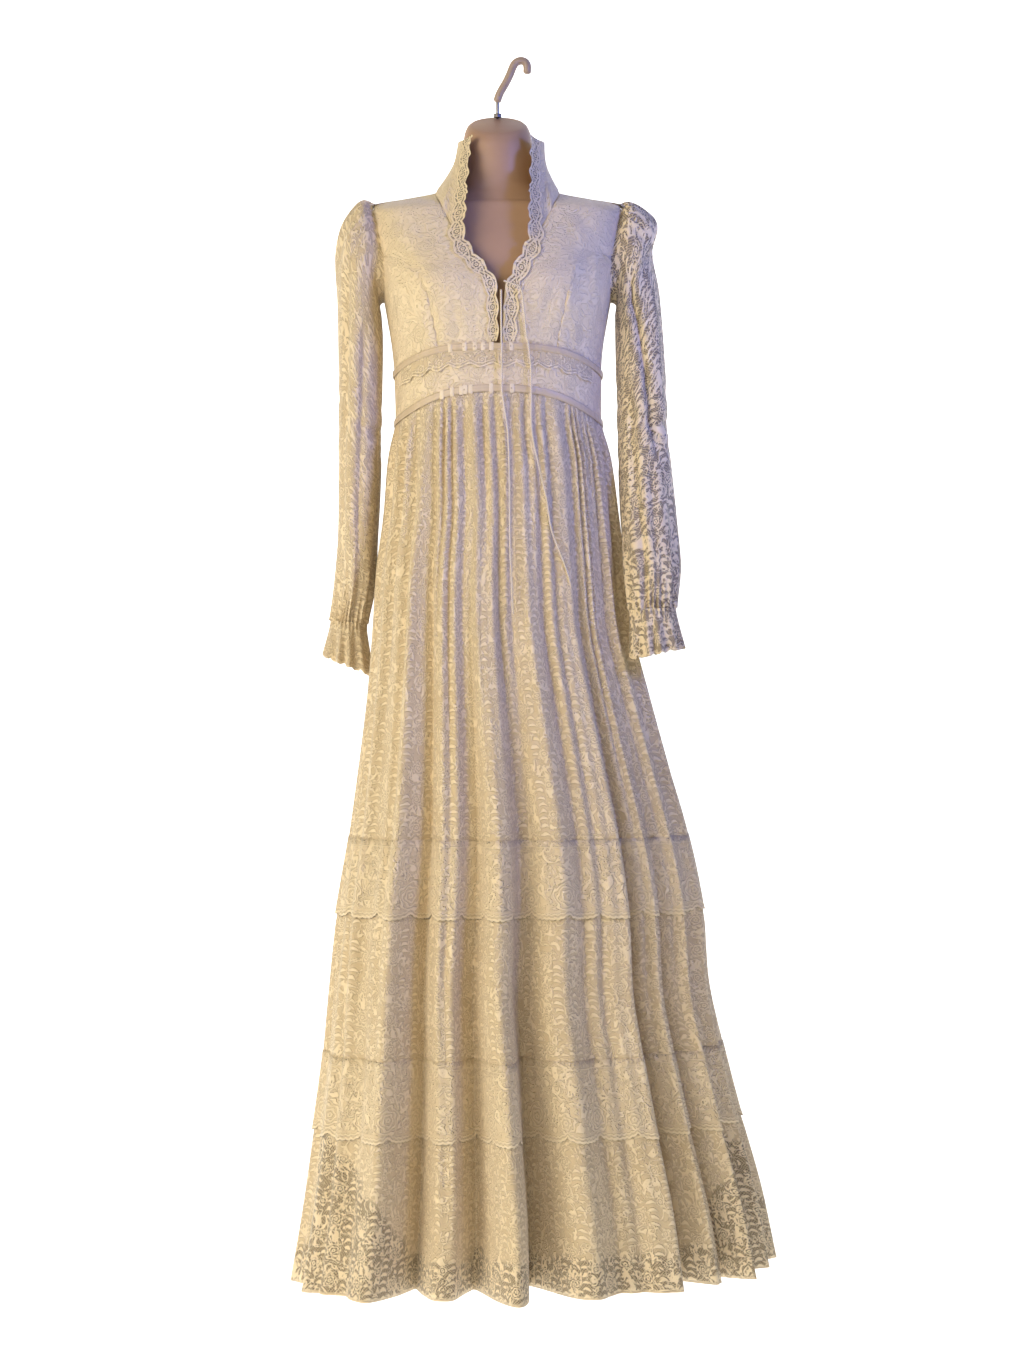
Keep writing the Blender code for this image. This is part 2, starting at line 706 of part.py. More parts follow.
def gather_size(height, seam_height):
    """Size of the gathers at a height; the first seam is where the skirt starts at this bearing."""
    size = 0.0
    for n, g in enumerate(GATHERS):
        below = (seam_height - GATHER_DROP if n == 0 else g.seam) - height
        if below > 0:
            size += g.size * (1 - math.exp(-below / g.start)) * math.exp(-below / g.spread)
    return size


def skirt_point(place, height):
    """A point of the lace skirt."""
    bearing, _, out = fold_at(place)
    gather = math.cos(math.pi * place) * gather_size(height, lower_seam(bearing))
    return ring_point(bearing, height) + (out * growth(height) + gather) * ring_normal(bearing, height, True)


def lining_point(place, height):
    """A point of the lining, inside the lace's valleys and short of its crests."""
    bearing, valley, out = fold_at(place)
    inside = mix(valley, out, LINING_CREST) * growth(height)
    seam = lower_seam(bearing)
    start = min(1.0, (seam - height) / LINING_START)
    clear = SEAM + LINING + start * (LINING_CLEAR + gather_size(height, seam) + LINING_HEM_CLEAR * growth(height))
    return ring_point(bearing, height) + (inside - clear) * ring_normal(bearing, height, True)


def skirt_top(bearing):
    """Height at which the skirt and its lining start."""
    return lower_seam(bearing) - SEAM


def skirt_rows(top, foot, shares, first, last, point, step=1.0):
    """Grid of a skirt piece from its foot up, between two places. top is a height or a function of bearing."""
    count = round((last - first) / step)
    places = [first + step * j for j in range(count + 1)]
    if count * step == SKIRT_COLUMNS:
        places.pop()
    rows = []
    for share in reversed(shares):
        row = []
        for place in places:
            start = top(fold_at(place)[0]) if callable(top) else top
            row.append(point(place, mix(start, foot, share)))
        rows.append(row)
    return rows


def sleeve_rings(table, side):
    """Centre, outward half and half depth of each ring of a sleeve, from the cap down."""
    for ring in table:
        outer = Vector((BODY_X + side * ring.outer, 0, ring.outer_height))
        inner = Vector((BODY_X + side * ring.inner, 0, ring.inner_height))
        centre = (outer + inner) / 2 + Vector((0, BODY_Y + ring.back, 0))
        yield centre, (outer - inner) / 2 * side, ring.depth, ring.gather


def sleeve_points(table, side, start):
    """Grid of half a sleeve from the elastic up to the armhole, over 180 degrees from a starting angle."""
    angles = [start + 180.0 * j / SLEEVE_COLUMNS for j in range(SLEEVE_COLUMNS + 1)]
    armhole = []
    for angle in angles:
        a = math.radians(angle)
        height = ARMHOLE_HEIGHT + (ARMHOLE_HALF + SLEEVE_CLEAR) * side * math.sin(a)
        bearing = 90.0 - SLEEVE_SPREAD * ARMHOLE_BEARING * math.cos(a)
        armhole.append(body_point(side * bearing, height, SLEEVE_STAND))
    rows = [armhole]
    for centre, half, depth, gather in sleeve_rings(table, side):
        row = []
        for j, angle in enumerate(angles):
            a = math.radians(angle)
            wave = 0.0 if j in (0, SLEEVE_COLUMNS) else gather * (-1) ** j
            ahead = Vector((0, -math.cos(a) * depth, 0))
            radial = half * math.sin(a) + ahead
            row.append(centre + radial * (1 + wave / radial.length))
        rows.append(row)
    rows.reverse()
    return pull_in(rows, {"first", "last"}, SEAM)


def sleeve_gaps():
    """Cells of a sleeve half with the largest gaps of its lace."""
    rows = len(SLEEVE_LEFT)
    return [(i, j) for i in range(1, rows - 2) for j in range(1, SLEEVE_COLUMNS - 1) if (i + j) % 2]


def cuff_points(table, cuff, side):
    """Grid of a cuff ruffle from its waved foot up to the elastic."""
    centre, half, depth, _ = list(sleeve_rings(table, side))[-1]
    top = (centre - Vector((0, 0, CUFF_GAP)), half, depth, 0.0)
    outer = Vector((BODY_X + side * cuff.outer, 0, cuff.outer_height))
    inner = Vector((BODY_X + side * cuff.inner, 0, cuff.inner_height))
    foot = ((outer + inner) / 2 + Vector((0, centre.y, 0)), (outer - inner) / 2 * side, cuff.depth, cuff.wave)
    count = 2 * cuff.waves
    rows = []
    for share in (1.0, 0.5, 0.0):
        middle, reach, deep, wave = [mix(a, b, share) for a, b in zip(top, foot)]
        row = []
        for j in range(count):
            a = 2 * math.pi * j / count
            radial = reach * math.sin(a) + Vector((0, -math.cos(a) * deep, 0))
            row.append(middle + radial * (1 + wave * (-1) ** j / radial.length))
        rows.append(row)
    return rows


def smooth_line(points, count):
    """Points evenly along a smooth curve through a few points."""
    ends = [2 * points[0] - points[1], *points, 2 * points[-1] - points[-2]]
    fine = []
    for i in range(1, len(ends) - 2):
        p, a, b, n = ends[i - 1 : i + 3]
        for k in range(12):
            t = k / 12
            fine.append(
                0.5 * (2 * a + (b - p) * t + (2 * p - 5 * a + 4 * b - n) * t**2 + (3 * a - p - 3 * b + n) * t**3)
            )
    fine.append(points[-1])
    lengths = [0.0]
    for a, b in zip(fine, fine[1:]):
        lengths.append(lengths[-1] + (b - a).length)
    line = []
    k = 0
    for n in range(count + 1):
        want = lengths[-1] * n / count
        while k < len(fine) - 2 and lengths[k + 1] < want:
            k += 1
        line.append(mix(fine[k], fine[k + 1], (want - lengths[k]) / (lengths[k + 1] - lengths[k])))
    return line


def opening_edge(side):
    """Points and outward normals up the edge of the opening: slit, neckline and the collar's front."""
    edge = []
    for i in range(COLLAR_START):
        bearing, height = front_row_ends(i)[0]
        height = max(height, upper_seam(bearing) + EDGING_FOOT)
        edge.append((body_point(side * bearing, height), ring_normal(side * bearing, height)))
    collar = collar_points()
    column, beside = (0, 1) if side > 0 else (-1, -2)
    for i, row in enumerate(collar):
        along = collar[min(i + 1, COLLAR_ROWS)][column] - collar[max(i - 1, 0)][column]
        across = (row[beside] - row[column]) * side
        edge.append((row[column], across.cross(along).normalized()))
    return edge


def edging_points(side, table):
    """Grid of the gathered edging along one side of the opening."""
    edge = opening_edge(side)
    count = EDGING_COLUMNS
    line = smooth_line([p for p, _ in edge], count)
    normals = smooth_line([n for _, n in edge], count)
    lanes = []
    for j, (place, out) in enumerate(zip(line, normals)):
        out = out.normalized()
        along = line[min(j + 1, count)] - line[max(j - 1, 0)]
        into = along.cross(out).normalized() * -side
        share = j / count
        k = next(n for n in range(len(table) - 1) if share <= table[n + 1].share)
        t = (share - table[k].share) / (table[k + 1].share - table[k].share)
        over = mix(table[k].over, table[k + 1].over, t)
        reach = mix(table[k].into, table[k + 1].into, t)
        wave = EDGING_WAVE * (1 + (-1) ** j) / 2
        lane = [
            place + into * over + out * (EDGING_STAND + wave * EDGING_HEEL_WAVE),
            place + into * mix(over, reach, EDGING_MIDDLE) + out * EDGING_STAND,
            place + into * reach + out * (EDGING_STAND + wave),
        ]
        lanes.append(lane if side < 0 else lane[::-1])
    return [list(row) for row in lanes]


def midriff_rows():
    """Grid of the midriff between its two seams."""
    step = 360.0 / TORSO_COLUMNS
    bearings = [step * j - 180 for j in range(TORSO_COLUMNS)]
    rows = []
    for share in (0.0, 0.5, 1.0):
        rows.append([body_point(b, mix(lower_seam(b) + MIDRIFF_FOOT, upper_seam(b) - MIDRIFF_TOP, share)) for b in bearings])
    return rows


def ribbon_rows(seam, width, out):
    """Grid of a ribbon that lies over a seam, all round."""
    step = 360.0 / TORSO_COLUMNS
    bearings = [step * j - 180 for j in range(TORSO_COLUMNS)]
    return [[body_point(b, seam(b) + width * share, out) for b in bearings] for share in (-0.5, 0.5)]


def midriff_edging_rows():
    """Grid of the gathered edging that hangs from the upper ribbon."""
    count = MIDRIFF_EDGING_COLUMNS
    rows = []
    for share in (1.0, 0.0):
        row = []
        for j in range(count + 1):
            b = mix(MIDRIFF_EDGING_FROM, MIDRIFF_EDGING_TO, j / count)
            top = upper_seam(b) - RIBBON_UPPER / 2 - 1.5 * SEAM
            wave = MIDRIFF_EDGING_WAVE * (1 + (-1) ** j) / 2 * share
            row.append(body_point(b, top - EDGING_DROP * share, LACE + LAP + wave))
        rows.append(row)
    return rows


def lacing_line(table):
    """The centre line of a lacing end."""
    points = []
    for p in table:
        s = at_height(SECTIONS, p.height)
        centre = (s.right - s.left) / 2
        aside = (p.across - centre) / ((s.left + s.right) / 2)
        bearing = math.degrees(math.asin(math.copysign(abs(aside) ** (1 / s.square), aside)))
        place = ring_point(bearing, p.height)
        points.append(place - Vector((0, p.stand, 0)))
    return smooth_line(points, CORD_POINTS)


def build_form(material):
    """The limbless form, from its slanted neck cap to its rounded foot."""
    build = bmesh.new()
    rings = []
    for ring in reversed(FORM_RINGS):
        row = []
        for j in range(FORM_COLUMNS):
            a = 2 * math.pi * j / FORM_COLUMNS
            ahead = power(math.cos(a), ring.square)
            y = -ahead * (ring.front if ahead > 0 else ring.back)
            x = ring.half * power(math.sin(a), ring.square)
            row.append(build.verts.new((BODY_X + x, BODY_Y + y, ring.height + ring.tilt * y)))
        rings.append(row)
    for low, high in zip(rings, rings[1:]):
        for j in range(FORM_COLUMNS):
            k = (j + 1) % FORM_COLUMNS
            build.faces.new((low[j], low[k], high[k], high[j]))
    build.faces.new(rings[-1])
    build.faces.new(list(reversed(rings[0])))
    mesh_object("form_torso", build, material)


def build_hook(material):
    """The nut, rod and sleeved hook that the form hangs by."""
    points = [Vector((p.x, 0, p.z)) for p in HOOK]
    tube("hanging_hook", points, [p.radius for p in HOOK], material)


def build_bodice(lace):
    """Collar and the six panels of the bodice."""
    shell("collar", collar_points(), LACE, lace)
    for side, hand in ((-1, "left"), (1, "right")):
        shell(f"front_{hand}", front_panel(side), LACE, lace)
        shell(f"side_front_{hand}", side_panel(side), LACE, lace)
        shell(f"back_{hand}", back_panel(side), LACE, lace)


def build_trims(lace, satin):
    """Midriff, ribbons and the gathered edgings."""
    shell("midriff", midriff_rows(), LACE, lace, closed=True)
    shell("ribbon_upper", ribbon_rows(upper_seam, RIBBON_UPPER, LACE + LAP), RIBBON, satin, closed=True)
    shell("ribbon_lower", ribbon_rows(lower_seam, RIBBON_LOWER, LACE + LAP), RIBBON, satin, closed=True)
    shell("midriff_edging", midriff_edging_rows(), LACE, lace)
    shell("neck_edging_left", edging_points(-1, EDGING_LEFT), LACE, lace)
    shell("neck_edging_right", edging_points(1, EDGING_RIGHT), LACE, lace)


def build_sleeves(lace):
    """Both sleeves, each as a front and a back half, and their cuffs."""
    for side, hand, table, cuff in (
        (-1, "left", SLEEVE_LEFT, CUFF_LEFT),
        (1, "right", SLEEVE_RIGHT, CUFF_RIGHT),
    ):
        for start, half in ((-90.0, "front"), (90.0, "back")):
            points = sleeve_points(table, side, start)
            shell(f"sleeve_{hand}_{half}", points, LACE, lace, gaps=sleeve_gaps(), gap=SLEEVE_GAP)
        shell(f"cuff_{hand}", cuff_points(table, cuff, side), LACE, lace, closed=True)


def build_skirt(lace, lining):
    """Tiers and galloon bands of the lace skirt, and the lining inside it."""
    whole = (0, SKIRT_COLUMNS)

    def tier(name, top, foot, shares):
        rows = pull_in(skirt_rows(top, foot, shares, *whole, skirt_point), {"bottom", "top"})
        shell(name, rows, LACE, lace, closed=True)

    tier("skirt_upper", skirt_top, GALLOON_UPPER_TOP, UPPER_SHARES)
    tier("galloon_upper", GALLOON_UPPER_TOP, GALLOON_UPPER_HEM, BAND_SHARES)
    tier("skirt_middle", GALLOON_UPPER_HEM, GALLOON_LOWER_TOP, MIDDLE_SHARES)
    tier("galloon_lower", GALLOON_LOWER_TOP, GALLOON_LOWER_HEM, BAND_SHARES)
    for name, first, last in (
        ("skirt_lower_front", LEFT_SPLIT, RIGHT_SPLIT),
        ("skirt_lower_back", RIGHT_SPLIT, LEFT_SPLIT + SKIRT_COLUMNS),
    ):
        rows = skirt_rows(GALLOON_LOWER_HEM, HEM, LOWER_SHARES, first, last, skirt_point)
        rows = pull_in(rows, {"top", "first", "last"})
        shell(name, rows, LACE, lace, gaps=[(0, j) for j in range(last - first)])
    rows = skirt_rows(skirt_top, LINING_HEM, LINING_SHARES, *whole, lining_point, FOLD_COLUMNS / 2)
    shell("skirt_lining", pull_in(rows, {"top"}), LINING, lining, closed=True)


def build_lacing(cord):
    """The two free ends of the lacing."""
    for name, table in (("lacing_left", LACING_LEFT), ("lacing_right", LACING_RIGHT)):
        line = lacing_line(table)
        tube(name, line, [CORD / 2] * len(line), cord)


def main():
    """Builds every piece."""
    clear_scene()
    collection = bpy.data.collections.new(PART)
    bpy.context.scene.collection.children.link(collection)
    lace = finish("ivory lace", (0.76, 0.64, 0.46), 0.85)
    lining = finish("cream lining", (0.78, 0.67, 0.50), 0.6)
    satin = finish("cream satin ribbon", (0.80, 0.70, 0.54), 0.4)
    skin = finish("skin-tone plastic", (0.52, 0.33, 0.22), 0.5)
    sleeve = finish("beige hook sleeve", (0.55, 0.42, 0.32), 0.45)
    build_form(skin)
    build_hook(sleeve)
    build_bodice(lace)
    build_trims(lace, satin)
    build_sleeves(lace)
    build_skirt(lace, lining)
    build_lacing(satin)


main()
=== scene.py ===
"""Looks of the lace wedding dress on its hanging form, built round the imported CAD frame.

Metres, +Z up, front towards -Y. Left and right are as seen from the front. A bearing is an angle round the body in
degrees: 0 is the front, 90 the right side, 180 the back and -90 the left side. Cloth coordinates are metres on the
flat cloth, across and up, and every lace pattern is charted in them.
"""

import logging
import math
from dataclasses import dataclass
from enum import Enum
from typing import Any, Callable, NamedTuple, Sequence, Union

import bpy
import numpy as np
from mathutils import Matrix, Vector

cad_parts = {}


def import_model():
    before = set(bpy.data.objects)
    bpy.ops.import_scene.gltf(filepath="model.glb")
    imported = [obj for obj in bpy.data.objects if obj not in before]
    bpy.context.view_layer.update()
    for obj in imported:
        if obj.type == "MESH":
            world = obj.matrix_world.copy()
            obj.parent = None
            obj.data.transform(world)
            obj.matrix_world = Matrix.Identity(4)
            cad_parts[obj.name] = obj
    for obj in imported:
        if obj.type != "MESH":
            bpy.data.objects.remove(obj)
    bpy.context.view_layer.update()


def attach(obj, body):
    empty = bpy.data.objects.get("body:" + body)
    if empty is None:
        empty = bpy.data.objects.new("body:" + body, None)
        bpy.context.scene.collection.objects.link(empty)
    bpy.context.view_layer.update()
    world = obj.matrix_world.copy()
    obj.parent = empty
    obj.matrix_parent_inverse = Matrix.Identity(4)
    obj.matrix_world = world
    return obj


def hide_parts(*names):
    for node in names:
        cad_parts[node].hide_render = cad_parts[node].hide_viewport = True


LOG = logging.getLogger("wedding_dress")
BODY = "root"

BODY_X = -0.0336
BODY_Y = -0.025
SEED = 7

Number = Union[float, "Value"]
Colour = tuple[float, float, float]
Place = tuple[float, float, float]


class Side(Enum):
    """The two hands of a paired piece, as seen from the front."""

    LEFT = -1
    RIGHT = 1

    @property
    def hand(self) -> str:
        """The word in the names of this side's pieces."""
        return self.name.lower()


class Section(NamedTuple):
    """One ring of the garment: half widths, half depths, how it turns and how square it is."""

    height: float
    left: float
    right: float
    front: float
    back: float
    lean: float
    square: float


SECTIONS = (
    Section(-0.166, 0.0650, 0.0650, 0.026, 0.052, 0.00, 0.90),
    Section(-0.175, 0.0820, 0.0820, 0.032, 0.058, 0.00, 0.86),
    Section(-0.182, 0.1180, 0.1180, 0.042, 0.062, 0.00, 0.82),
    Section(-0.190, 0.1620, 0.1620, 0.054, 0.070, 0.00, 0.80),
    Section(-0.203, 0.1640, 0.1640, 0.068, 0.083, 0.00, 0.80),
    Section(-0.221, 0.1625, 0.1625, 0.082, 0.093, 0.00, 0.80),
    Section(-0.242, 0.1595, 0.1595, 0.096, 0.099, 0.00, 0.80),
    Section(-0.261, 0.1555, 0.1555, 0.107, 0.102, 0.00, 0.82),
    Section(-0.290, 0.1510, 0.1510, 0.118, 0.103, 0.00, 0.84),
    Section(-0.318, 0.1480, 0.1480, 0.121, 0.101, 0.00, 0.86),
    Section(-0.350, 0.1425, 0.1425, 0.114, 0.097, 0.00, 0.88),
    Section(-0.387, 0.1370, 0.1370, 0.102, 0.093, 0.00, 0.90),
    Section(-0.440, 0.1330, 0.1350, 0.094, 0.090, 0.00, 0.92),
    Section(-0.480, 0.1330, 0.1360, 0.094, 0.092, 0.01, 0.94),
    Section(-0.530, 0.1390, 0.1470, 0.099, 0.100, 0.02, 0.96),
    Section(-0.600, 0.1446, 0.1560, 0.108, 0.110, 0.04, 1.00),
    Section(-0.670, 0.1540, 0.1640, 0.116, 0.118, 0.06, 1.00),
    Section(-0.750, 0.1590, 0.1720, 0.123, 0.124, 0.09, 1.00),
    Section(-0.840, 0.1670, 0.1950, 0.129, 0.130, 0.12, 1.00),
    Section(-0.930, 0.1760, 0.2200, 0.134, 0.135, 0.15, 1.00),
    Section(-1.020, 0.1860, 0.2450, 0.139, 0.140, 0.17, 1.00),
    Section(-1.120, 0.1980, 0.2620, 0.144, 0.144, 0.20, 1.00),
    Section(-1.220, 0.2060, 0.2690, 0.148, 0.148, 0.22, 1.00),
    Section(-1.310, 0.2115, 0.2880, 0.152, 0.150, 0.24, 1.00),
    Section(-1.400, 0.2190, 0.3080, 0.156, 0.152, 0.26, 1.00),
    Section(-1.500, 0.2300, 0.3350, 0.161, 0.155, 0.27, 1.00),
    Section(-1.600, 0.2440, 0.3550, 0.166, 0.158, 0.28, 1.00),
)


def smooth_between(knots: np.ndarray, values: np.ndarray, at: np.ndarray) -> np.ndarray:
    """Reads smooth curves through rows of values.

    Args:
        knots: Where each row lies, rising.
        values: The rows, each of any shape.
        at: Where the curves are read.

    Returns:
        The values there, as one array with a row for each place.
    """
    values = np.asarray(values, float)
    slopes = np.empty_like(values)
    gaps = (knots[2:] - knots[:-2]).reshape(-1, *[1] * (values.ndim - 1))
    slopes[1:-1] = (values[2:] - values[:-2]) / gaps
    slopes[0] = (values[1] - values[0]) / (knots[1] - knots[0])
    slopes[-1] = (values[-1] - values[-2]) / (knots[-1] - knots[-2])
    at = np.clip(at, knots[0], knots[-1])
    i = np.clip(np.searchsorted(knots, at, side="right") - 1, 0, len(knots) - 2)
    span = knots[i + 1] - knots[i]
    shape = (-1, *[1] * (values.ndim - 1))
    t = ((at - knots[i]) / span).reshape(shape)
    span = span.reshape(shape)
    return (
        (2 * t**3 - 3 * t**2 + 1) * values[i]
        + (t**3 - 2 * t**2 + t) * slopes[i] * span
        + (3 * t**2 - 2 * t**3) * values[i + 1]
        + (t**3 - t**2) * slopes[i + 1] * span
    )


def signed_power(value: np.ndarray, exponent: np.ndarray) -> np.ndarray:
    """A power that keeps the sign."""
    return np.sign(value) * np.abs(value) ** exponent


def unit(vectors: np.ndarray) -> np.ndarray:
    """Vectors of length one."""
    return vectors / np.maximum(np.linalg.norm(vectors, axis=-1, keepdims=True), 1e-12)


def blend(a: Any, b: Any, share: Any) -> Any:
    """Between two numbers or arrays."""
    return a + (b - a) * share


def spaced(first: float, last: float, count: int) -> np.ndarray:
    """Evenly spaced numbers, both ends among them, with that many steps."""
    return np.linspace(first, last, count + 1)


@dataclass(frozen=True)
class Garment:
    """The body's rings from the back neck to the hem, and the seams that lie on them.

    Args:
        bust_across: How far each bust point lies from the centre line.
        bust_height: Height of the bust points.
        bust_out: How far the cloth stands out there.
    """

    bust_across: float = 0.082
    bust_height: float = -0.308
    bust_out: float = 0.010
    bust_spread: tuple[float, float] = (0.046, 0.044)

    def section(self, height: np.ndarray) -> np.ndarray:
        """Every column of the rings' table at some heights."""
        rows = np.array(SECTIONS)[::-1]
        return smooth_between(rows[:, 0], rows[:, 1:], np.asarray(height, float).ravel())

    def ring(self, bearing: np.ndarray, height: np.ndarray) -> np.ndarray:
        """Points of the garment's rings.

        Args:
            bearing: Bearings in degrees.
            height: A height for each bearing.

        Returns:
            Points, in the last axis.
        """
        bearing, height = np.broadcast_arrays(np.asarray(bearing, float), np.asarray(height, float))
        shape = bearing.shape
        angle = np.radians(bearing.ravel())
        left, right, front, back, lean, square = self.section(height.ravel()).T
        across = (left + right) / 2 * signed_power(np.sin(angle), square)
        ahead = signed_power(np.cos(angle), square)
        x = (right - left) / 2 + across
        y = -np.where(ahead > 0, front, back) * ahead + lean * across
        y -= np.where(ahead > 0, self.bust(x, height.ravel()), 0)
        return np.stack((BODY_X + x, BODY_Y + y, height.ravel()), -1).reshape(*shape, 3)

    def bust(self, across: np.ndarray, height: np.ndarray) -> np.ndarray:
        """How far the cloth stands out over the bust."""
        aside = (np.abs(across) - self.bust_across) / self.bust_spread[0]
        above = (height - self.bust_height) / self.bust_spread[1]
        return self.bust_out * np.exp(-(aside**2) - above**2)

    def normal(self, bearing: np.ndarray, height: np.ndarray, level: bool = False) -> np.ndarray:
        """The way out of the rings' surface.

        Args:
            bearing: Bearings in degrees.
            height: A height for each bearing.
            level: Whether the way out stays horizontal.

        Returns:
            Unit vectors.
        """
        turn = 0.5
        rise = 0.0008
        height = np.asarray(height, float)
        along = self.ring(bearing + turn, height) - self.ring(bearing - turn, height)
        if level:
            return unit(np.stack((along[..., 1], -along[..., 0], np.zeros_like(along[..., 0])), -1))
        upper = np.minimum(height + rise, SECTIONS[0].height)
        up = self.ring(bearing, upper) - self.ring(bearing, upper - 2 * rise)
        return unit(np.cross(along, up))

    def point(self, bearing: np.ndarray, height: np.ndarray, out: Any = 0.0) -> np.ndarray:
        """Points that stand out from the rings along their normals."""
        out = np.asarray(out, float)[..., None]
        return self.ring(bearing, height) + out * self.normal(bearing, height)

    def bearing_of(self, half: float, height: float) -> float:
        """The bearing at which the ring is that far from the centre line."""
        left, right, _, _, _, square = self.section(np.array([height]))[0]
        return math.degrees(math.asin(min(1.0, half / ((left + right) / 2)) ** (1 / square)))

    def upper_seam(self, bearing: np.ndarray) -> np.ndarray:
        """Heights of the seam below the bust."""
        arch = -0.3863 - 0.0285 * np.abs(np.sin(np.radians(bearing))) ** 3
        return np.where(np.abs(away_from_front(bearing)) < 90, arch, -0.4148)

    def lower_seam(self, bearing: np.ndarray) -> np.ndarray:
        """Heights of the skirt's seam, arched in front and raised behind the side seams."""
        away = np.abs(away_from_front(bearing))
        side = -0.4398 - 0.039
        arch = -0.4398 - 0.039 * np.abs(np.sin(np.radians(away))) ** 2.4
        t = np.clip((away - 90) / 40, 0, 1)
        return np.where(away < 90, arch, side + (-0.446 - side) * t * t * (3 - 2 * t))


def away_from_front(bearing: np.ndarray) -> np.ndarray:
    """Bearings from -180 to 180."""
    return (np.asarray(bearing, float) + 180) % 360 - 180


GARMENT = Garment()


class Crease(NamedTuple):
    """A soft trough in the cloth, or a ridge where its depth is negative, as it shows from the front or the back."""

    x0: float
    z0: float
    x1: float
    z1: float
    width: float
    depth: float


FRONT_CREASES = (
    Crease(-0.168, -0.262, -0.120, -0.300, 0.006, 0.0022),
    Crease(-0.170, -0.280, -0.134, -0.330, 0.005, 0.0018),
    Crease(-0.160, -0.312, -0.130, -0.372, 0.006, 0.0020),
    Crease(-0.140, -0.318, -0.122, -0.385, 0.005, -0.0014),
    Crease(-0.120, -0.330, -0.110, -0.384, 0.005, 0.0016),
    Crease(-0.150, -0.215, -0.110, -0.250, 0.010, 0.0016),
    Crease(-0.110, -0.215, -0.085, -0.262, 0.012, 0.0012),
    Crease(0.094, -0.262, 0.090, -0.322, 0.0035, -0.0032),
    Crease(0.083, -0.262, 0.074, -0.330, 0.006, 0.0022),
    Crease(0.104, -0.252, 0.102, -0.312, 0.005, 0.0024),
    Crease(0.066, -0.272, 0.056, -0.352, 0.004, -0.0022),
    Crease(0.046, -0.290, 0.030, -0.362, 0.008, 0.0018),
    Crease(0.034, -0.318, 0.020, -0.372, 0.006, 0.0014),
    Crease(0.080, -0.330, 0.074, -0.398, 0.006, 0.0020),
    Crease(0.058, -0.352, 0.064, -0.402, 0.005, 0.0016),
    Crease(0.070, -0.206, 0.096, -0.246, 0.009, 0.0020),
    Crease(0.040, -0.215, 0.070, -0.255, 0.012, 0.0012),
    Crease(-0.060, -0.338, -0.062, -0.380, 0.005, 0.0012),
    Crease(-0.090, -0.326, -0.082, -0.382, 0.006, 0.0014),
)
BACK_CREASES = (
    Crease(-0.150, -0.262, -0.096, -0.300, 0.008, 0.0022),
    Crease(-0.140, -0.330, -0.104, -0.380, 0.007, 0.0018),
    Crease(0.084, -0.270, 0.040, -0.305, 0.008, 0.0020),
    Crease(0.074, -0.340, 0.040, -0.388, 0.007, 0.0018),
    Crease(-0.080, -0.205, -0.050, -0.250, 0.010, 0.0014),
    Crease(-0.060, -0.350, -0.052, -0.402, 0.006, 0.0014),
    Crease(0.000, -0.352, 0.006, -0.404, 0.006, 0.0014),
)


def crease(points: np.ndarray, out: np.ndarray) -> np.ndarray:
    """Presses the body's creases into a grid of points.

    Args:
        points: Grid of points.
        out: The way out of the cloth at each.

    Returns:
        The grid with its creases.
    """
    depth = np.zeros(points.shape[:-1])
    for creases, facing in ((FRONT_CREASES, -1), (BACK_CREASES, 1)):
        faces = np.clip(out[..., 1] * facing * 4, 0, 1)
        for c in creases:
            along = np.array((c.x1 - c.x0, c.z1 - c.z0))
            from_start = np.stack((points[..., 0] - c.x0, points[..., 2] - c.z0), -1)
            share = (from_start @ along) / (along @ along)
            nearest = np.clip(share, 0, 1)[..., None] * along
            away = np.linalg.norm(from_start - nearest, axis=-1)
            fade = np.sin(np.pi * np.clip(share, 0.02, 0.98)) ** 0.8
            depth += faces * fade * c.depth * np.exp(-((away / c.width) ** 2))
    return points - depth[..., None] * out


def grid_normals(points: np.ndarray) -> np.ndarray:
    """The way out of a grid whose columns run by bearing and whose rows run up."""
    return unit(np.cross(np.gradient(points, axis=1), np.gradient(points, axis=0)))


def lengths_along(points: np.ndarray, axis: int) -> np.ndarray:
    """Length from the grid's start along its rows or columns, at each point."""
    steps = np.linalg.norm(np.diff(points, axis=axis), axis=-1)
    total = np.cumsum(steps, axis=axis)
    return np.concatenate((np.zeros_like(np.take(total, [0], axis=axis)), total), axis=axis)


def average_cloth(points: np.ndarray) -> tuple[np.ndarray, tuple[float, float]]:
    """Cloth coordinates of a grid and the size of its flat cut.

    Args:
        points: Grid of points, rows up.

    Returns:
        Coordinates across and up at each point, and the cut's width and height.
    """
    across = lengths_along(points, 1)
    up = lengths_along(points, 0)
    width = float(across[:, -1].mean())
    height = float(up[-1].mean())
    share = across / np.maximum(across[:, -1:], 1e-9)
    rise = up / np.maximum(up[-1:], 1e-9)
    return np.stack((share * width, rise * height), -1), (width, height)


def select_only(piece: bpy.types.Object) -> None:
    """Leaves one piece selected and active."""
    bpy.ops.object.select_all(action="DESELECT")
    piece.select_set(True)
    bpy.context.view_layer.objects.active = piece


def apply_modifiers(piece: bpy.types.Object) -> None:
    """Applies all of a piece's modifiers."""
    select_only(piece)
    for name in [m.name for m in piece.modifiers]:
        bpy.ops.object.modifier_apply(modifier=name)


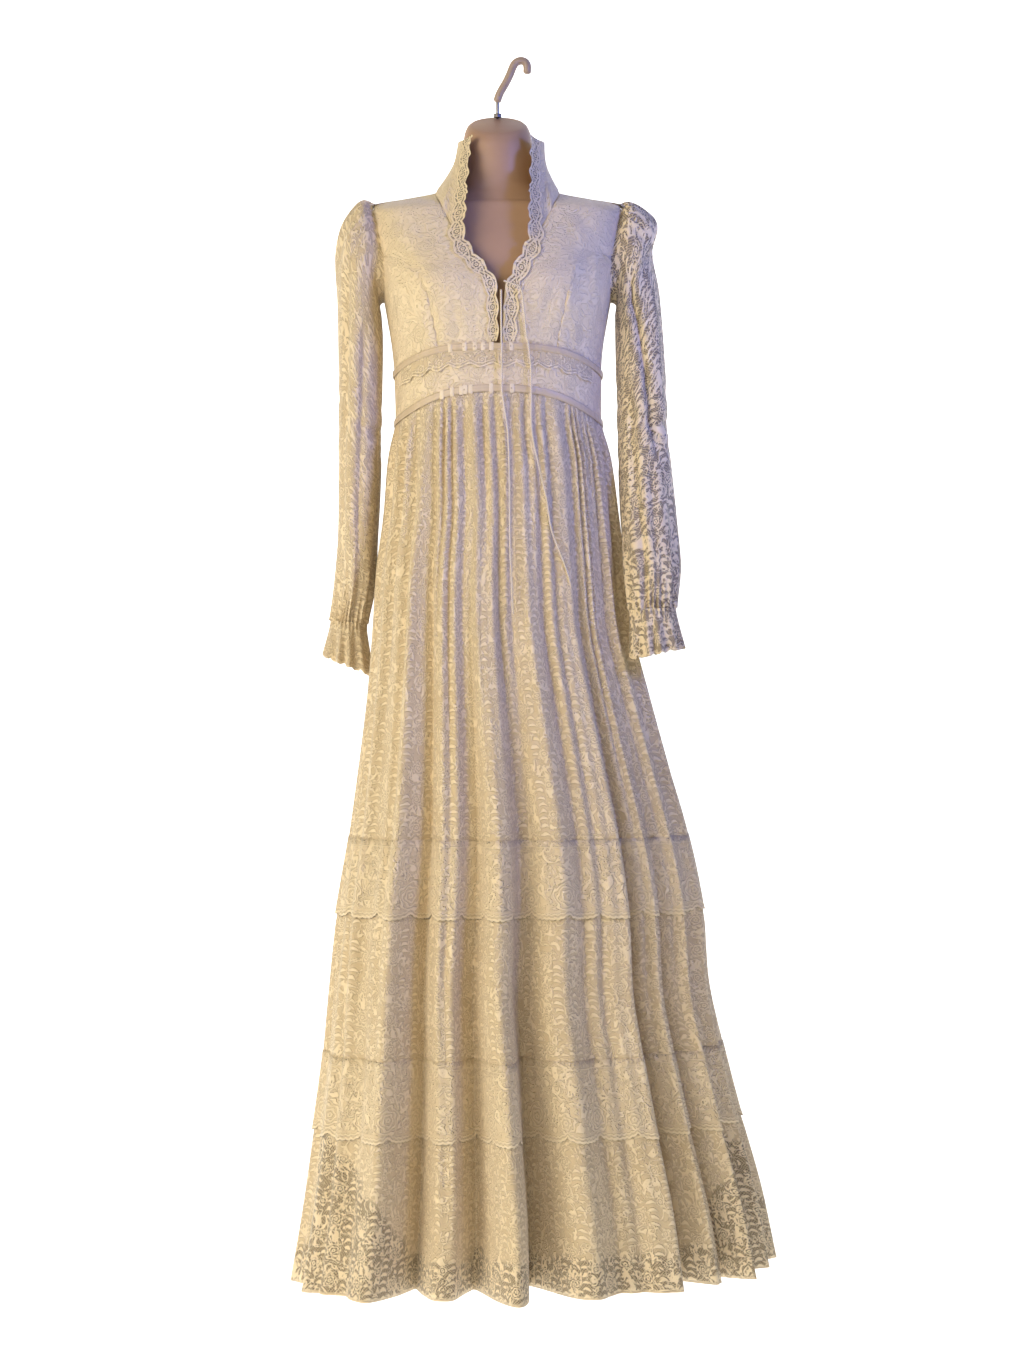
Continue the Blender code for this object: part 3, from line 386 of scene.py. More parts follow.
def cloth(
    name: str,
    points: np.ndarray,
    chart: np.ndarray,
    wall: float,
    closed: bool = False,
    outward: float = -1.0,
) -> bpy.types.Object:
    """Lays a subdivided sheet on a grid of points.

    Args:
        name: The piece's name.
        points: Grid of points, rows up and columns by bearing.
        chart: Cloth coordinates of the points.
        wall: The cloth's thickness.
        closed: Whether the last column meets the first.
        outward: 1 grows the wall outwards, and -1 inwards.

    Returns:
        The piece.
    """
    rows, columns = points.shape[0] - 1, points.shape[1] - 1
    bpy.ops.object.select_all(action="DESELECT")
    bpy.ops.mesh.primitive_grid_add(x_subdivisions=columns, y_subdivisions=rows, size=1.0)
    piece = bpy.context.object
    piece.name = name
    mesh = piece.data
    mesh.name = name
    place = np.empty(len(mesh.vertices) * 3)
    mesh.vertices.foreach_get("co", place)
    place = place.reshape(-1, 3)
    column = np.rint((place[:, 0] + 0.5) * columns).astype(int)
    row = np.rint((place[:, 1] + 0.5) * rows).astype(int)
    mesh.vertices.foreach_set("co", points[row, column].ravel())
    corner = np.empty(len(mesh.loops), int)
    mesh.loops.foreach_get("vertex_index", corner)
    mesh.uv_layers[0].uv.foreach_set("vector", chart[row, column][corner].astype(float).ravel())
    mesh.update()
    if closed:
        bpy.ops.object.mode_set(mode="EDIT")
        bpy.ops.mesh.select_all(action="SELECT")
        bpy.ops.mesh.remove_doubles(threshold=1e-6)
        bpy.ops.object.mode_set(mode="OBJECT")
    if wall:
        shell = piece.modifiers.new("Wall", "SOLIDIFY")
        shell.thickness = wall
        shell.offset = outward
        apply_modifiers(piece)
    select_only(piece)
    bpy.ops.object.shade_smooth()
    return piece


def dress(
    piece: bpy.types.Object,
    material: bpy.types.Material,
    replaces: Sequence[str] = (),
) -> bpy.types.Object:
    """Gives a piece its finish and fixes it to the frame.

    Args:
        piece: The piece.
        material: Its finish.
        replaces: CAD nodes that the piece stands for.

    Returns:
        The piece.
    """
    piece.data.materials.clear()
    piece.data.materials.append(material)
    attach(piece, BODY)
    if replaces:
        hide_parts(*replaces)
    LOG.info("%s: %d faces", piece.name, len(piece.data.polygons) if piece.type == "MESH" else 0)
    return piece


class Value:
    """A shader socket that takes part in Python arithmetic."""

    def __init__(self, shader: "Shader", socket: bpy.types.NodeSocket) -> None:
        """Wraps a socket of a shader's tree."""
        self.shader = shader
        self.socket = socket

    def math(self, operation: str, *others: Number) -> "Value":
        """A Math node on this value and others."""
        return self.shader.math(operation, self, *others)

    def __add__(self, other: Number) -> "Value":
        """Sum."""
        return self.math("ADD", other)

    def __radd__(self, other: Number) -> "Value":
        """Sum."""
        return self.math("ADD", other)

    def __sub__(self, other: Number) -> "Value":
        """Difference."""
        return self.math("SUBTRACT", other)

    def __rsub__(self, other: Number) -> "Value":
        """Difference from a number."""
        return self.shader.math("SUBTRACT", other, self)

    def __mul__(self, other: Number) -> "Value":
        """Product."""
        return self.math("MULTIPLY", other)

    def __rmul__(self, other: Number) -> "Value":
        """Product."""
        return self.math("MULTIPLY", other)

    def __truediv__(self, other: Number) -> "Value":
        """Quotient."""
        return self.math("DIVIDE", other)

    def __abs__(self) -> "Value":
        """Size without the sign."""
        return self.math("ABSOLUTE")

    def floor(self) -> "Value":
        """Whole part."""
        return self.math("FLOOR")

    def part(self) -> "Value":
        """Part after the point, also of a negative number."""
        return self.math("FRACT")

    def sine(self) -> "Value":
        """Sine of radians."""
        return self.math("SINE")

    def least(self, other: Number) -> "Value":
        """The smaller of two."""
        return self.math("MINIMUM", other)

    def most(self, other: Number) -> "Value":
        """The larger of two."""
        return self.math("MAXIMUM", other)

    def step(self, low: Number, high: Number, start: float = 0.0, end: float = 1.0) -> "Value":
        """A smooth step from start at low to end at high."""
        return self.shader.out(
            "ShaderNodeMapRange",
            {"interpolation_type": "SMOOTHSTEP"},
            {"Value": self, "From Min": low, "From Max": high, "To Min": start, "To Max": end},
            "Result",
        )


class Shader:
    """A material whose tree is built from Python expressions."""

    def __init__(self, name: str, colour: Colour) -> None:
        """Makes the material.

        Args:
            name: The finish's name.
            colour: Its plain colour in simple views.
        """
        self.material = bpy.data.materials.new(name)
        self.material.use_nodes = True
        self.material.diffuse_color = (*colour, 1.0)
        self.tree = self.material.node_tree
        self.surface = self.tree.nodes["Principled BSDF"]

    def node(self, kind: str, settings: dict[str, Any], inputs: dict[Any, Any]) -> bpy.types.Node:
        """Adds a node.

        Args:
            kind: The node's type.
            settings: Its properties, set first.
            inputs: Values, colours or links of its sockets, by name or place.

        Returns:
            The node.
        """
        made = self.tree.nodes.new(kind)
        for key, value in settings.items():
            setattr(made, key, value)
        for key, value in inputs.items():
            self.feed(made.inputs[key], value)
        return made

    def feed(self, socket: bpy.types.NodeSocket, value: Any) -> None:
        """Links a value to a socket or sets it there."""
        if isinstance(value, Value):
            self.tree.links.new(value.socket, socket)
        elif isinstance(value, tuple) and socket.type == "RGBA":
            socket.default_value = (*value, 1.0)
        else:
            socket.default_value = value

    def out(self, kind: str, settings: dict[str, Any], inputs: dict[Any, Any], output: Any) -> Value:
        """Adds a node and gives one of its outputs."""
        return Value(self, self.node(kind, settings, inputs).outputs[output])

    def math(self, operation: str, *values: Number) -> Value:
        """Adds a Math node."""
        return self.out("ShaderNodeMath", {"operation": operation}, dict(enumerate(values)), 0)

    def mix(self, share: Number, first: Any, second: Any) -> Value:
        """A colour between two."""
        settings = {"data_type": "RGBA", "clamp_factor": True}
        return self.out("ShaderNodeMix", settings, {0: share, 6: first, 7: second}, 2)

    def tint(self, share: Number, colour: Any, by: Any) -> Value:
        """A colour multiplied by another, as far as the share says."""
        settings = {"data_type": "RGBA", "blend_type": "MULTIPLY", "clamp_factor": True}
        return self.out("ShaderNodeMix", settings, {0: share, 6: colour, 7: by}, 2)

    def chart(self) -> tuple[Value, Value, Value]:
        """The cloth's coordinates: across, up, and both as a vector."""
        place = self.out("ShaderNodeUVMap", {}, {}, "UV")
        split = self.node("ShaderNodeSeparateXYZ", {}, {0: place})
        return Value(self, split.outputs[0]), Value(self, split.outputs[1]), place

    def spot(self) -> Value:
        """The piece's own coordinates in metres."""
        return self.out("ShaderNodeTexCoord", {}, {}, "Object")

    def noise(self, place: Value, scale: float, detail: float = 2.0, warp: float = 0.0) -> Value:
        """Noise from 0 to 1."""
        inputs = {"Vector": place, "Scale": scale, "Detail": detail, "Distortion": warp}
        return self.out("ShaderNodeTexNoise", {}, inputs, "Fac")

    def stretch(self, place: Value, scale: tuple[float, float, float]) -> Value:
        """Coordinates stretched by a factor on each axis."""
        return self.out("ShaderNodeMapping", {}, {"Vector": place, "Scale": scale}, "Vector")

    def vector(self, x: Number, y: Number, z: Number = 0.0) -> Value:
        """Coordinates from three numbers."""
        return self.out("ShaderNodeCombineXYZ", {}, {0: x, 1: y, 2: z}, "Vector")

    def relief(self, height: Value, distance: float, strength: float = 1.0) -> None:
        """Raises the surface by a height from 0 to 1, times a distance."""
        inputs = {"Height": height, "Distance": distance, "Strength": strength}
        self.feed(self.surface.inputs["Normal"], self.out("ShaderNodeBump", {}, inputs, "Normal"))

    def finish(self, **sockets: Any) -> bpy.types.Material:
        """Sets the surface's sockets, named with underscores for spaces, and gives the material."""
        for name, value in sockets.items():
            self.feed(self.surface.inputs[name.replace("_", " ")], value)
        return self.material


class Lace:
    """Threads of lace, charted in metres on the cloth."""

    def __init__(self, shader: Shader, sway: float = 0.0) -> None:
        """Starts a chart on a shader's cloth coordinates.

        Args:
            shader: The shader.
            sway: How far the threads wander from their chart.
        """
        self.shader = shader
        self.across, self.up, self.place = shader.chart()
        self.straight = self.up
        if sway:
            self.across = self.across + (shader.noise(self.place, 55.0, 2.0) - 0.5) * sway
            moved = shader.vector(self.up, self.across)
            self.up = self.up + (shader.noise(moved, 48.0, 2.0) - 0.5) * sway

    def repeat(self, value: Value, pitch: float, shift: Number = 0.0) -> Value:
        """Distance from the middle of the nearest repeat."""
        return ((value / pitch + shift).part() - 0.5) * pitch

    def polar(self, x: Value, y: Value, radius: float, stretch: float = 1.0) -> tuple[Value, Value]:
        """Distance from a motif's middle, 1 at its rim, and the angle round it."""
        flat = y / stretch
        away = (x * x + flat * flat).math("SQRT") / radius
        return away, flat.math("ARCTAN2", x)

    def rose(self, x: Value, y: Value, radius: float, rings: float = 3.4, petals: float = 5.0) -> tuple[Value, Value]:
        """A rose of turning petals.

        Args:
            x: Distance across from its middle.
            y: Distance up from its middle.
            radius: Its size.
            rings: How many rings of petals it has.
            petals: How many petals a ring has.

        Returns:
            Its threads, and where it covers the ground.
        """
        away, angle = self.polar(x, y, radius, 0.92)
        lobes = (angle * petals + away * 9.0).math("COSINE") * 0.10 + 1.0
        petal = away * lobes
        gap = abs((petal * rings).part() - 0.5)
        threads = gap.step(0.22, 0.34, 1.0, 0.0)
        cover = petal.step(0.94, 1.0, 1.0, 0.0)
        return threads * cover, cover

    def vermicelli(self, scale: float, lines: float, width: float, warp: float = 0.6) -> Value:
        """Winding threads with small irregular holes between them."""
        field_value = self.shader.noise(self.place, scale, 1.5, warp)
        gap = abs((field_value * lines).part() - 0.5)
        return gap.step(width, width + 0.10, 1.0, 0.0)

    def net(self, pitch: float, thread: float) -> Value:
        """A fine diamond net."""
        first = abs(self.repeat(self.across + self.up, pitch))
        second = abs(self.repeat(self.across - self.up, pitch))
        half = thread / 2
        return first.least(second).step(half, half * 1.5, 1.0, 0.0)

    def crescents(self, x: Value, pitch: float, half: float) -> Value:
        """A column of stacked crescents.

        Args:
            x: Distance across from the column's middle.
            pitch: Distance from one to the next.
            half: Half the column's width.

        Returns:
            Its threads.
        """
        bent = self.up + x * x * (0.42 / half)
        duty = x * x / (half * half)
        lines = abs((bent / pitch).part() - 0.5) + duty * 0.16
        return lines.step(0.20, 0.32, 1.0, 0.0) * abs(x).step(half * 0.94, half, 1.0, 0.0)


@dataclass(frozen=True)
class LaceLook:
    """Colours of the lace, and the painted shade colour that stands for what shows through its holes."""

    thread: Colour = (0.86, 0.725, 0.51)
    ground: Colour = (0.62, 0.495, 0.32)
    # Painted shade: the holes take this dark colour at the veil's opacity, standing for the shaded inside seen
    # through them.
    painted_hole_shade: Colour = (0.16, 0.125, 0.09)
    veil: float = 0.95
    roughness: float = 0.82
    relief: float = 0.0015

    def surface(
        self,
        shader: Shader,
        threads: Value,
        cover: Union[Value, None] = None,
        edge: Union[Value, None] = None,
        soft: float = 0.0,
        relief: float = 1.0,
    ) -> bpy.types.Material:
        """Finishes a lace.

        Args:
            shader: The shader that holds the chart.
            threads: Where the thick threads are.
            cover: Where a sheer lace has threads or a lining at all; elsewhere a fine net in the painted shade colour
                veils what is behind.
            edge: Where there is cloth inside a scalloped edge.
            soft: How far the threads' colour fades into the ground's.
            relief: Height of the threads, as a share of the usual one.

        Returns:
            The material.
        """
        _, _, place = shader.chart()
        cloud = shader.noise(place, 9.0, 2.0)
        fibre = shader.noise(place, 900.0, 1.0)
        ground = tuple(blend(g, t, soft) for g, t in zip(self.ground, self.thread))
        colour = shader.mix(threads, ground, self.thread)
        colour = shader.tint(cloud.step(0.35, 0.75, 0.0, 0.5), colour, (0.93, 0.90, 0.84))
        alpha = edge
        if cover is not None:
            # Where nothing covers the lace, its holes are painted with the dark shade colour.
            colour = shader.mix(cover, self.painted_hole_shade, colour)
            alpha = cover.most(self.veil) if edge is None else cover.most(self.veil) * edge
        shader.relief(threads + fibre * 0.16, self.relief * relief)
        sockets: dict[str, Any] = {
            "Base_Color": colour,
            "Roughness": self.roughness,
            "Sheen_Weight": 0.25,
            "Sheen_Roughness": 0.5,
            "Specular_IOR_Level": 0.25,
        }
        if alpha is not None:
            sockets["Alpha"] = alpha
        return shader.finish(**sockets)


@dataclass(frozen=True)
class BodiceLace(LaceLook):
    """Lace lined close, so that it reads as a soft low relief."""

    soft: float = 0.78

    def material(self) -> bpy.types.Material:
        """Leafy winding threads with small roses."""
        shader = Shader("bodice lace over lining", self.thread)
        lace = Lace(shader, 0.006)
        row = (lace.up / 0.046).floor()
        x = lace.repeat(lace.across, 0.064, row * 0.5)
        rose, cover = lace.rose(x, lace.repeat(lace.up, 0.046), 0.0105)
        leaves = lace.vermicelli(78.0, 4.5, 0.16)
        arcs = lace.crescents(abs(x) - 0.021, 0.0085, 0.0065) * 0.7
        threads = (leaves.most(arcs) * (1.0 - cover)).most(rose)
        return self.surface(shader, threads, soft=self.soft, relief=0.8)


class SheerSpot(NamedTuple):
    """A place of the bottom tier where the lining hangs away: across, half its width, and how far up it goes."""

    across: float
    half: float
    rise: float


@dataclass(frozen=True)
class SkirtLace(LaceLook):
    """The tiers' lace: columns of roses, of stacked arcs and of leaves on a net."""

    stripe: float = 0.062

    def threads(self, lace: Lace) -> Value:
        """The tiers' pattern.

        Args:
            lace: The chart.

        Returns:
            Where the thick threads are.
        """
        stripe = lace.repeat(lace.across, self.stripe)
        rose, rose_cover = lace.rose(stripe, lace.repeat(lace.up, 0.038), 0.0092, 2.8)
        between = lace.repeat(lace.across, self.stripe, 0.5)
        bud, bud_cover = lace.rose(between, lace.repeat(lace.up, 0.038, 0.5), 0.0062, 1.9, 4.0)
        patches = lace.shader.noise(lace.place, 42.0, 1.0).step(0.46, 0.52)
        arcs = lace.crescents(abs(stripe) - 0.0185, 0.0092, 0.0066) * patches
        beside = abs(abs(stripe) - 0.0185).step(0.0060, 0.0074).most(1.0 - patches)
        leaves = lace.vermicelli(76.0, 4.0, 0.13, 0.9)
        sprays = lace.vermicelli(44.0, 3.5, 0.07, 1.2)
        ground = arcs.most(leaves.most(sprays) * beside)
        return (ground * (1.0 - rose_cover) * (1.0 - bud_cover)).most(rose).most(bud)

    def material(self, name: str, lined: float = 0.0, spots: Sequence[SheerSpot] = ()) -> bpy.types.Material:
        """The finish of a tier.

        Args:
            name: The finish's name.
            lined: Height on the chart above which a lining lies behind, or 0 where there is one all over.
            spots: Places where the lining hangs away further up.

        Returns:
            The material.
        """
        shader = Shader(name, self.thread)
        lace = Lace(shader, 0.010)
        threads = self.threads(lace)
        cover = None
        if lined:
            foot: Number = lined
            for spot in spots:
                foot = (1.0 - abs(lace.across - spot.across) / spot.half).most(0.0) * spot.rise + foot
            drift = (shader.noise(lace.place, 16.0, 2.0) - 0.5) * 0.060
            behind = (lace.straight - foot + drift).step(-0.004, 0.010)
            bound = lace.straight.step(0.0035, 0.0040, 1.0, 0.0)
            # Where nothing covers the net, its holes take the painted shade colour.
            cover = threads.most(lace.net(0.0036, 0.0008)).most(behind).most(bound)
        return self.surface(shader, threads, cover, soft=0.18)


@dataclass(frozen=True)
class GalloonLace(LaceLook):
    """Wide bands with large roses and a scalloped foot."""

    rose_pitch: float = 0.114
    rose_radius: float = 0.022
    lobes: float = 2.0
    foot: float = 0.0075

    def material(self, height: float) -> bpy.types.Material:
        """The band's finish.

        Args:
            height: The band's height on its chart, from the deepest scallop up.

        Returns:
            The material.
        """
        shader = Shader("galloon lace", self.thread)
        lace = Lace(shader, 0.005)
        x = lace.repeat(lace.across, self.rose_pitch)
        lobe = abs((lace.across * (math.pi * self.lobes / self.rose_pitch)).sine())
        lobe = 1.0 - (1.0 - lobe) * (1.0 - lobe)
        picot = abs((lace.across * (math.pi / 0.0076)).sine())
        scallop = (1.0 - lobe) * self.foot + (1.0 - picot) * 0.0017
        rose, cover = lace.rose(x, lace.up - self.rose_radius - 0.009, self.rose_radius, 4.2, 5.0)
        between = lace.repeat(lace.across, self.rose_pitch, 0.5)
        small, small_cover = lace.rose(between, lace.up - 0.027, 0.0160, 3.2, 6.0)
        leaves = lace.vermicelli(54.0, 3.8, 0.13, 1.1)
        sprays = lace.vermicelli(88.0, 4.0, 0.09, 0.8)
        rim = abs(lace.straight - scallop - 0.0024).step(0.0016, 0.0022, 1.0, 0.0)
        second = abs(lace.straight - scallop - 0.0074).step(0.0010, 0.0016, 1.0, 0.0)
        beside = abs(lace.straight - scallop - 0.0068).step(0.0060, 0.0064)
        top = abs(lace.straight - height * 0.955).step(0.0006, 0.0012, 0.8, 0.0)
        ground = leaves.most(sprays) * (1.0 - cover) * (1.0 - small_cover) * beside
        threads = ground.most(rose).most(small).most(rim).most(second).most(top)
        edge = (lace.straight - scallop).step(0.0, 0.0004)
        return self.surface(shader, threads, edge=edge, soft=0.48, relief=1.7)


@dataclass(frozen=True)
class SleeveLace(LaceLook):
    """Sheer lace of winding leaves; its gaps take a painted shade colour, darker on the shaded side."""

    def material(self, name: str, scallop: float = 0.0) -> bpy.types.Material:
        """The sleeves' finish.

        Args:
            name: The finish's name.
            scallop: Depth of the scallops at the chart's foot, or 0 for a straight one.

        Returns:
            The material.
        """
        shader = Shader(name, self.thread)
        lace = Lace(shader, 0.007)
        row = (lace.up / 0.044).floor()
        x = lace.repeat(lace.across, 0.056, row * 0.5)
        rose, rose_cover = lace.rose(x, lace.repeat(lace.up, 0.044), 0.0092, 2.6)
        arcs = lace.crescents(abs(x) - 0.0185, 0.0092, 0.0056)
        leaves = lace.vermicelli(72.0, 3.6, 0.09, 1.0)
        sprays = lace.vermicelli(44.0, 3.5, 0.06, 0.8)
        threads = (leaves.most(sprays).most(arcs) * (1.0 - rose_cover)).most(rose)
        cover = threads.most(lace.net(0.0034, 0.0007))
        edge = None
        if scallop:
            lobe = abs((lace.across * (math.pi / 0.018)).sine())
            inside = lace.straight - (1.0 - lobe) * scallop
            rim = abs(inside - 0.0018).step(0.0009, 0.0014, 1.0, 0.0)
            threads = threads.most(rim)
            cover = cover.most(rim)
            edge = inside.step(0.0, 0.0004)
        return self.surface(shader, threads, cover, edge)


@dataclass(frozen=True)
class EdgingLace(LaceLook):
    """Narrow edging: a row of round roses with a scalloped rim, joined by bars."""

    pitch: float = 0.031

    def material(self, name: str, width: float, both: bool) -> bpy.types.Material:
        """The edging's finish.

        Args:
            name: The finish's name.
            width: The edging's width on its chart.
            both: Whether both edges are scalloped and the lace is open, and not the far edge alone on a lined lace.

        Returns:
            The material.
        """
        shader = Shader(name, self.thread)
        lace = Lace(shader, 0.002)
        x = lace.repeat(lace.across, self.pitch)
        radius = self.pitch * (0.32 if both else 0.23)
        middle = width * (0.5 if both else 0.58)
        rose, rose_cover = lace.rose(x, lace.up - middle, radius, 3.0 if both else 2.2, 6.0)
        lobe = abs((lace.across * (math.pi / self.pitch)).sine())
        dip = (1.0 - lobe) * (width * (0.20 if both else 0.17))
        inside = (width - dip) - lace.straight
        if both:
            inside = inside.least(lace.straight - dip)
        rim = abs(inside - 0.0016).step(0.0011, 0.0016, 1.0, 0.0)
        second = abs(inside - 0.0056).step(0.0007, 0.0012, 1.0, 0.0)
        leaves = lace.vermicelli(110.0, 3.4, 0.10, 0.6)
        threads = (leaves * (1.0 - rose_cover)).most(rose).most(rim).most(second)
        edge = inside.step(0.0, 0.0004)
        if both:
            # The open edging's holes take the painted shade colour.
            return self.surface(shader, threads, threads.most(lace.net(0.0030, 0.0006)), edge, soft=0.2, relief=1.2)
        return self.surface(shader, threads, edge=edge, soft=0.20, relief=1.4)


@dataclass(frozen=True)
class Binding(LaceLook):
    """Narrow bands of plain thread: the hem's binding."""

    def material(self) -> bpy.types.Material:
        """The binding's finish."""
        shader = Shader("cotton binding", self.thread)
        lace = Lace(shader)
        fibres = abs((lace.across * (math.pi / 0.0016)).sine())
        return self.surface(shader, fibres.step(0.2, 0.8, 0.70, 1.0), soft=0.6, relief=0.3)


@dataclass(frozen=True)
class Cord:
    """Twisted cotton cord of the lacing."""

    colour: Colour = (0.88, 0.76, 0.57)

    def material(self) -> bpy.types.Material:
        """The cord's finish."""
        shader = Shader("twisted lacing cord", self.colour)
        split = shader.node("ShaderNodeSeparateXYZ", {}, {0: shader.spot()})
        x, z = Value(shader, split.outputs[0]), Value(shader, split.outputs[2])
        twist = ((z + x * 0.9) * (math.pi / 0.0011)).sine() * 0.5 + 0.5
        # Painted shade: the cord is darker in the grooves between its twisted plies.
        dark = tuple(c * 0.72 for c in self.colour)
        colour = shader.mix(twist.step(0.1, 0.6), dark, self.colour)
        shader.relief(twist, 0.0003)
        return shader.finish(Base_Color=colour, Roughness=0.7, Sheen_Weight=0.2)


@dataclass(frozen=True)
class Satin:
    """Woven satin ribbon, also of the lacing."""

    colour: Colour = (0.60, 0.48, 0.33)

    def material(self, name: str = "satin ribbon") -> bpy.types.Material:
        """The ribbon's finish."""
        shader = Shader(name, self.colour)
        across, _, place = shader.chart()
        weft = (across * 5200.0).sine() * 0.5 + 0.5
        slub = shader.noise(shader.stretch(place, (30.0, 500.0, 1.0)), 1.0, 2.0)
        colour = shader.mix(slub.step(0.3, 0.8), self.colour, tuple(c * 1.12 for c in self.colour))
        shader.relief(weft * 0.5 + slub * 0.5, 0.00012)
        return shader.finish(
            Base_Color=colour,
            Roughness=slub.step(0.2, 0.8, 0.32, 0.44),
            Sheen_Weight=0.35,
            Specular_IOR_Level=0.5,
            Anisotropic=0.4,
        )


@dataclass(frozen=True)
class Lining:
    """Plain opaque lining."""

    colour: Colour = (0.66, 0.52, 0.34)

    def material(self) -> bpy.types.Material:
        """The lining's finish."""
        shader = Shader("plain lining", self.colour)
        _, _, place = shader.chart()
        weave = shader.noise(shader.stretch(place, (1400.0, 1400.0, 1.0)), 1.0, 1.0)
        cloud = shader.noise(place, 7.0, 2.0)
        colour = shader.mix(cloud.step(0.3, 0.8), self.colour, tuple(c * 1.07 for c in self.colour))
        shader.relief(weave, 0.00012)
        return shader.finish(Base_Color=colour, Roughness=0.7, Sheen_Weight=0.2)


@dataclass(frozen=True)
class SkinPlastic:
    """Smooth skin-tone plastic of the form."""

    colour: Colour = (0.50, 0.315, 0.205)

    def material(self) -> bpy.types.Material:
        """The form's finish."""
        shader = Shader("skin-tone plastic", self.colour)
        place = shader.spot()
        cloud = shader.noise(place, 14.0, 3.0)
        fine = shader.noise(place, 900.0, 2.0)
        colour = shader.mix(cloud.step(0.3, 0.75), self.colour, tuple(c * 0.90 for c in self.colour))
        shader.relief(fine * 0.4 + cloud * 0.6, 0.00025)
        return shader.finish(
            Base_Color=colour,
            Roughness=cloud.step(0.2, 0.8, 0.42, 0.56),
            Subsurface_Weight=0.0,
            Specular_IOR_Level=0.4,
        )


@dataclass(frozen=True)
class HookPlastic:
    """Beige plastic sleeve of the hook."""

    colour: Colour = (0.46, 0.345, 0.255)

    def material(self) -> bpy.types.Material:
        """The sleeve's finish."""
        shader = Shader("beige hook plastic", self.colour)
        cloud = shader.noise(shader.spot(), 60.0, 3.0)
        colour = shader.mix(cloud.step(0.3, 0.8), self.colour, tuple(c * 0.86 for c in self.colour))
        shader.relief(cloud, 0.0002)
        return shader.finish(Base_Color=colour, Roughness=cloud.step(0.2, 0.8, 0.30, 0.45))


@dataclass(frozen=True)
class Steel:
    """Plain steel of the rod, or the darker nut."""

    colour: Colour = (0.34, 0.33, 0.33)
    roughness: float = 0.36

    def material(self, name: str) -> bpy.types.Material:
        """The metal's finish."""
        shader = Shader(name, self.colour)
        fine = shader.noise(shader.stretch(shader.spot(), (300.0, 300.0, 40.0)), 1.0, 3.0)
        shader.relief(fine, 0.00012)
        low, high = self.roughness - 0.06, self.roughness + 0.08
        return shader.finish(Base_Color=self.colour, Metallic=1.0, Roughness=fine.step(0.2, 0.8, low, high))


class FrontRow(NamedTuple):
    """A row of the front bodice; no outer half means that its outer end is on the armhole."""

    inner_height: float
    inner_half: float
    outer_height: float
    outer_half: Union[float, None]


FRONT_ROWS = (
    FrontRow(-0.3863, 0.0075, -0.3900, 0.0760),
    FrontRow(-0.3554, 0.0080, -0.3640, 0.0805),
    FrontRow(-0.3175, 0.0100, -0.3350, 0.0873),
    FrontRow(-0.3048, 0.0136, -0.3068, 0.0940),
    FrontRow(-0.2946, 0.0214, -0.2902, 0.1050),
    FrontRow(-0.2789, 0.0350, -0.2743, 0.1270),
    FrontRow(-0.2597, 0.0490, -0.2614, None),
    FrontRow(-0.2414, 0.0533, -0.2420, None),
    FrontRow(-0.2155, 0.0655, -0.2200, None),
    FrontRow(-0.1975, 0.0740, -0.2030, None),
    FrontRow(-0.1750, 0.0820, -0.1900, None),
)


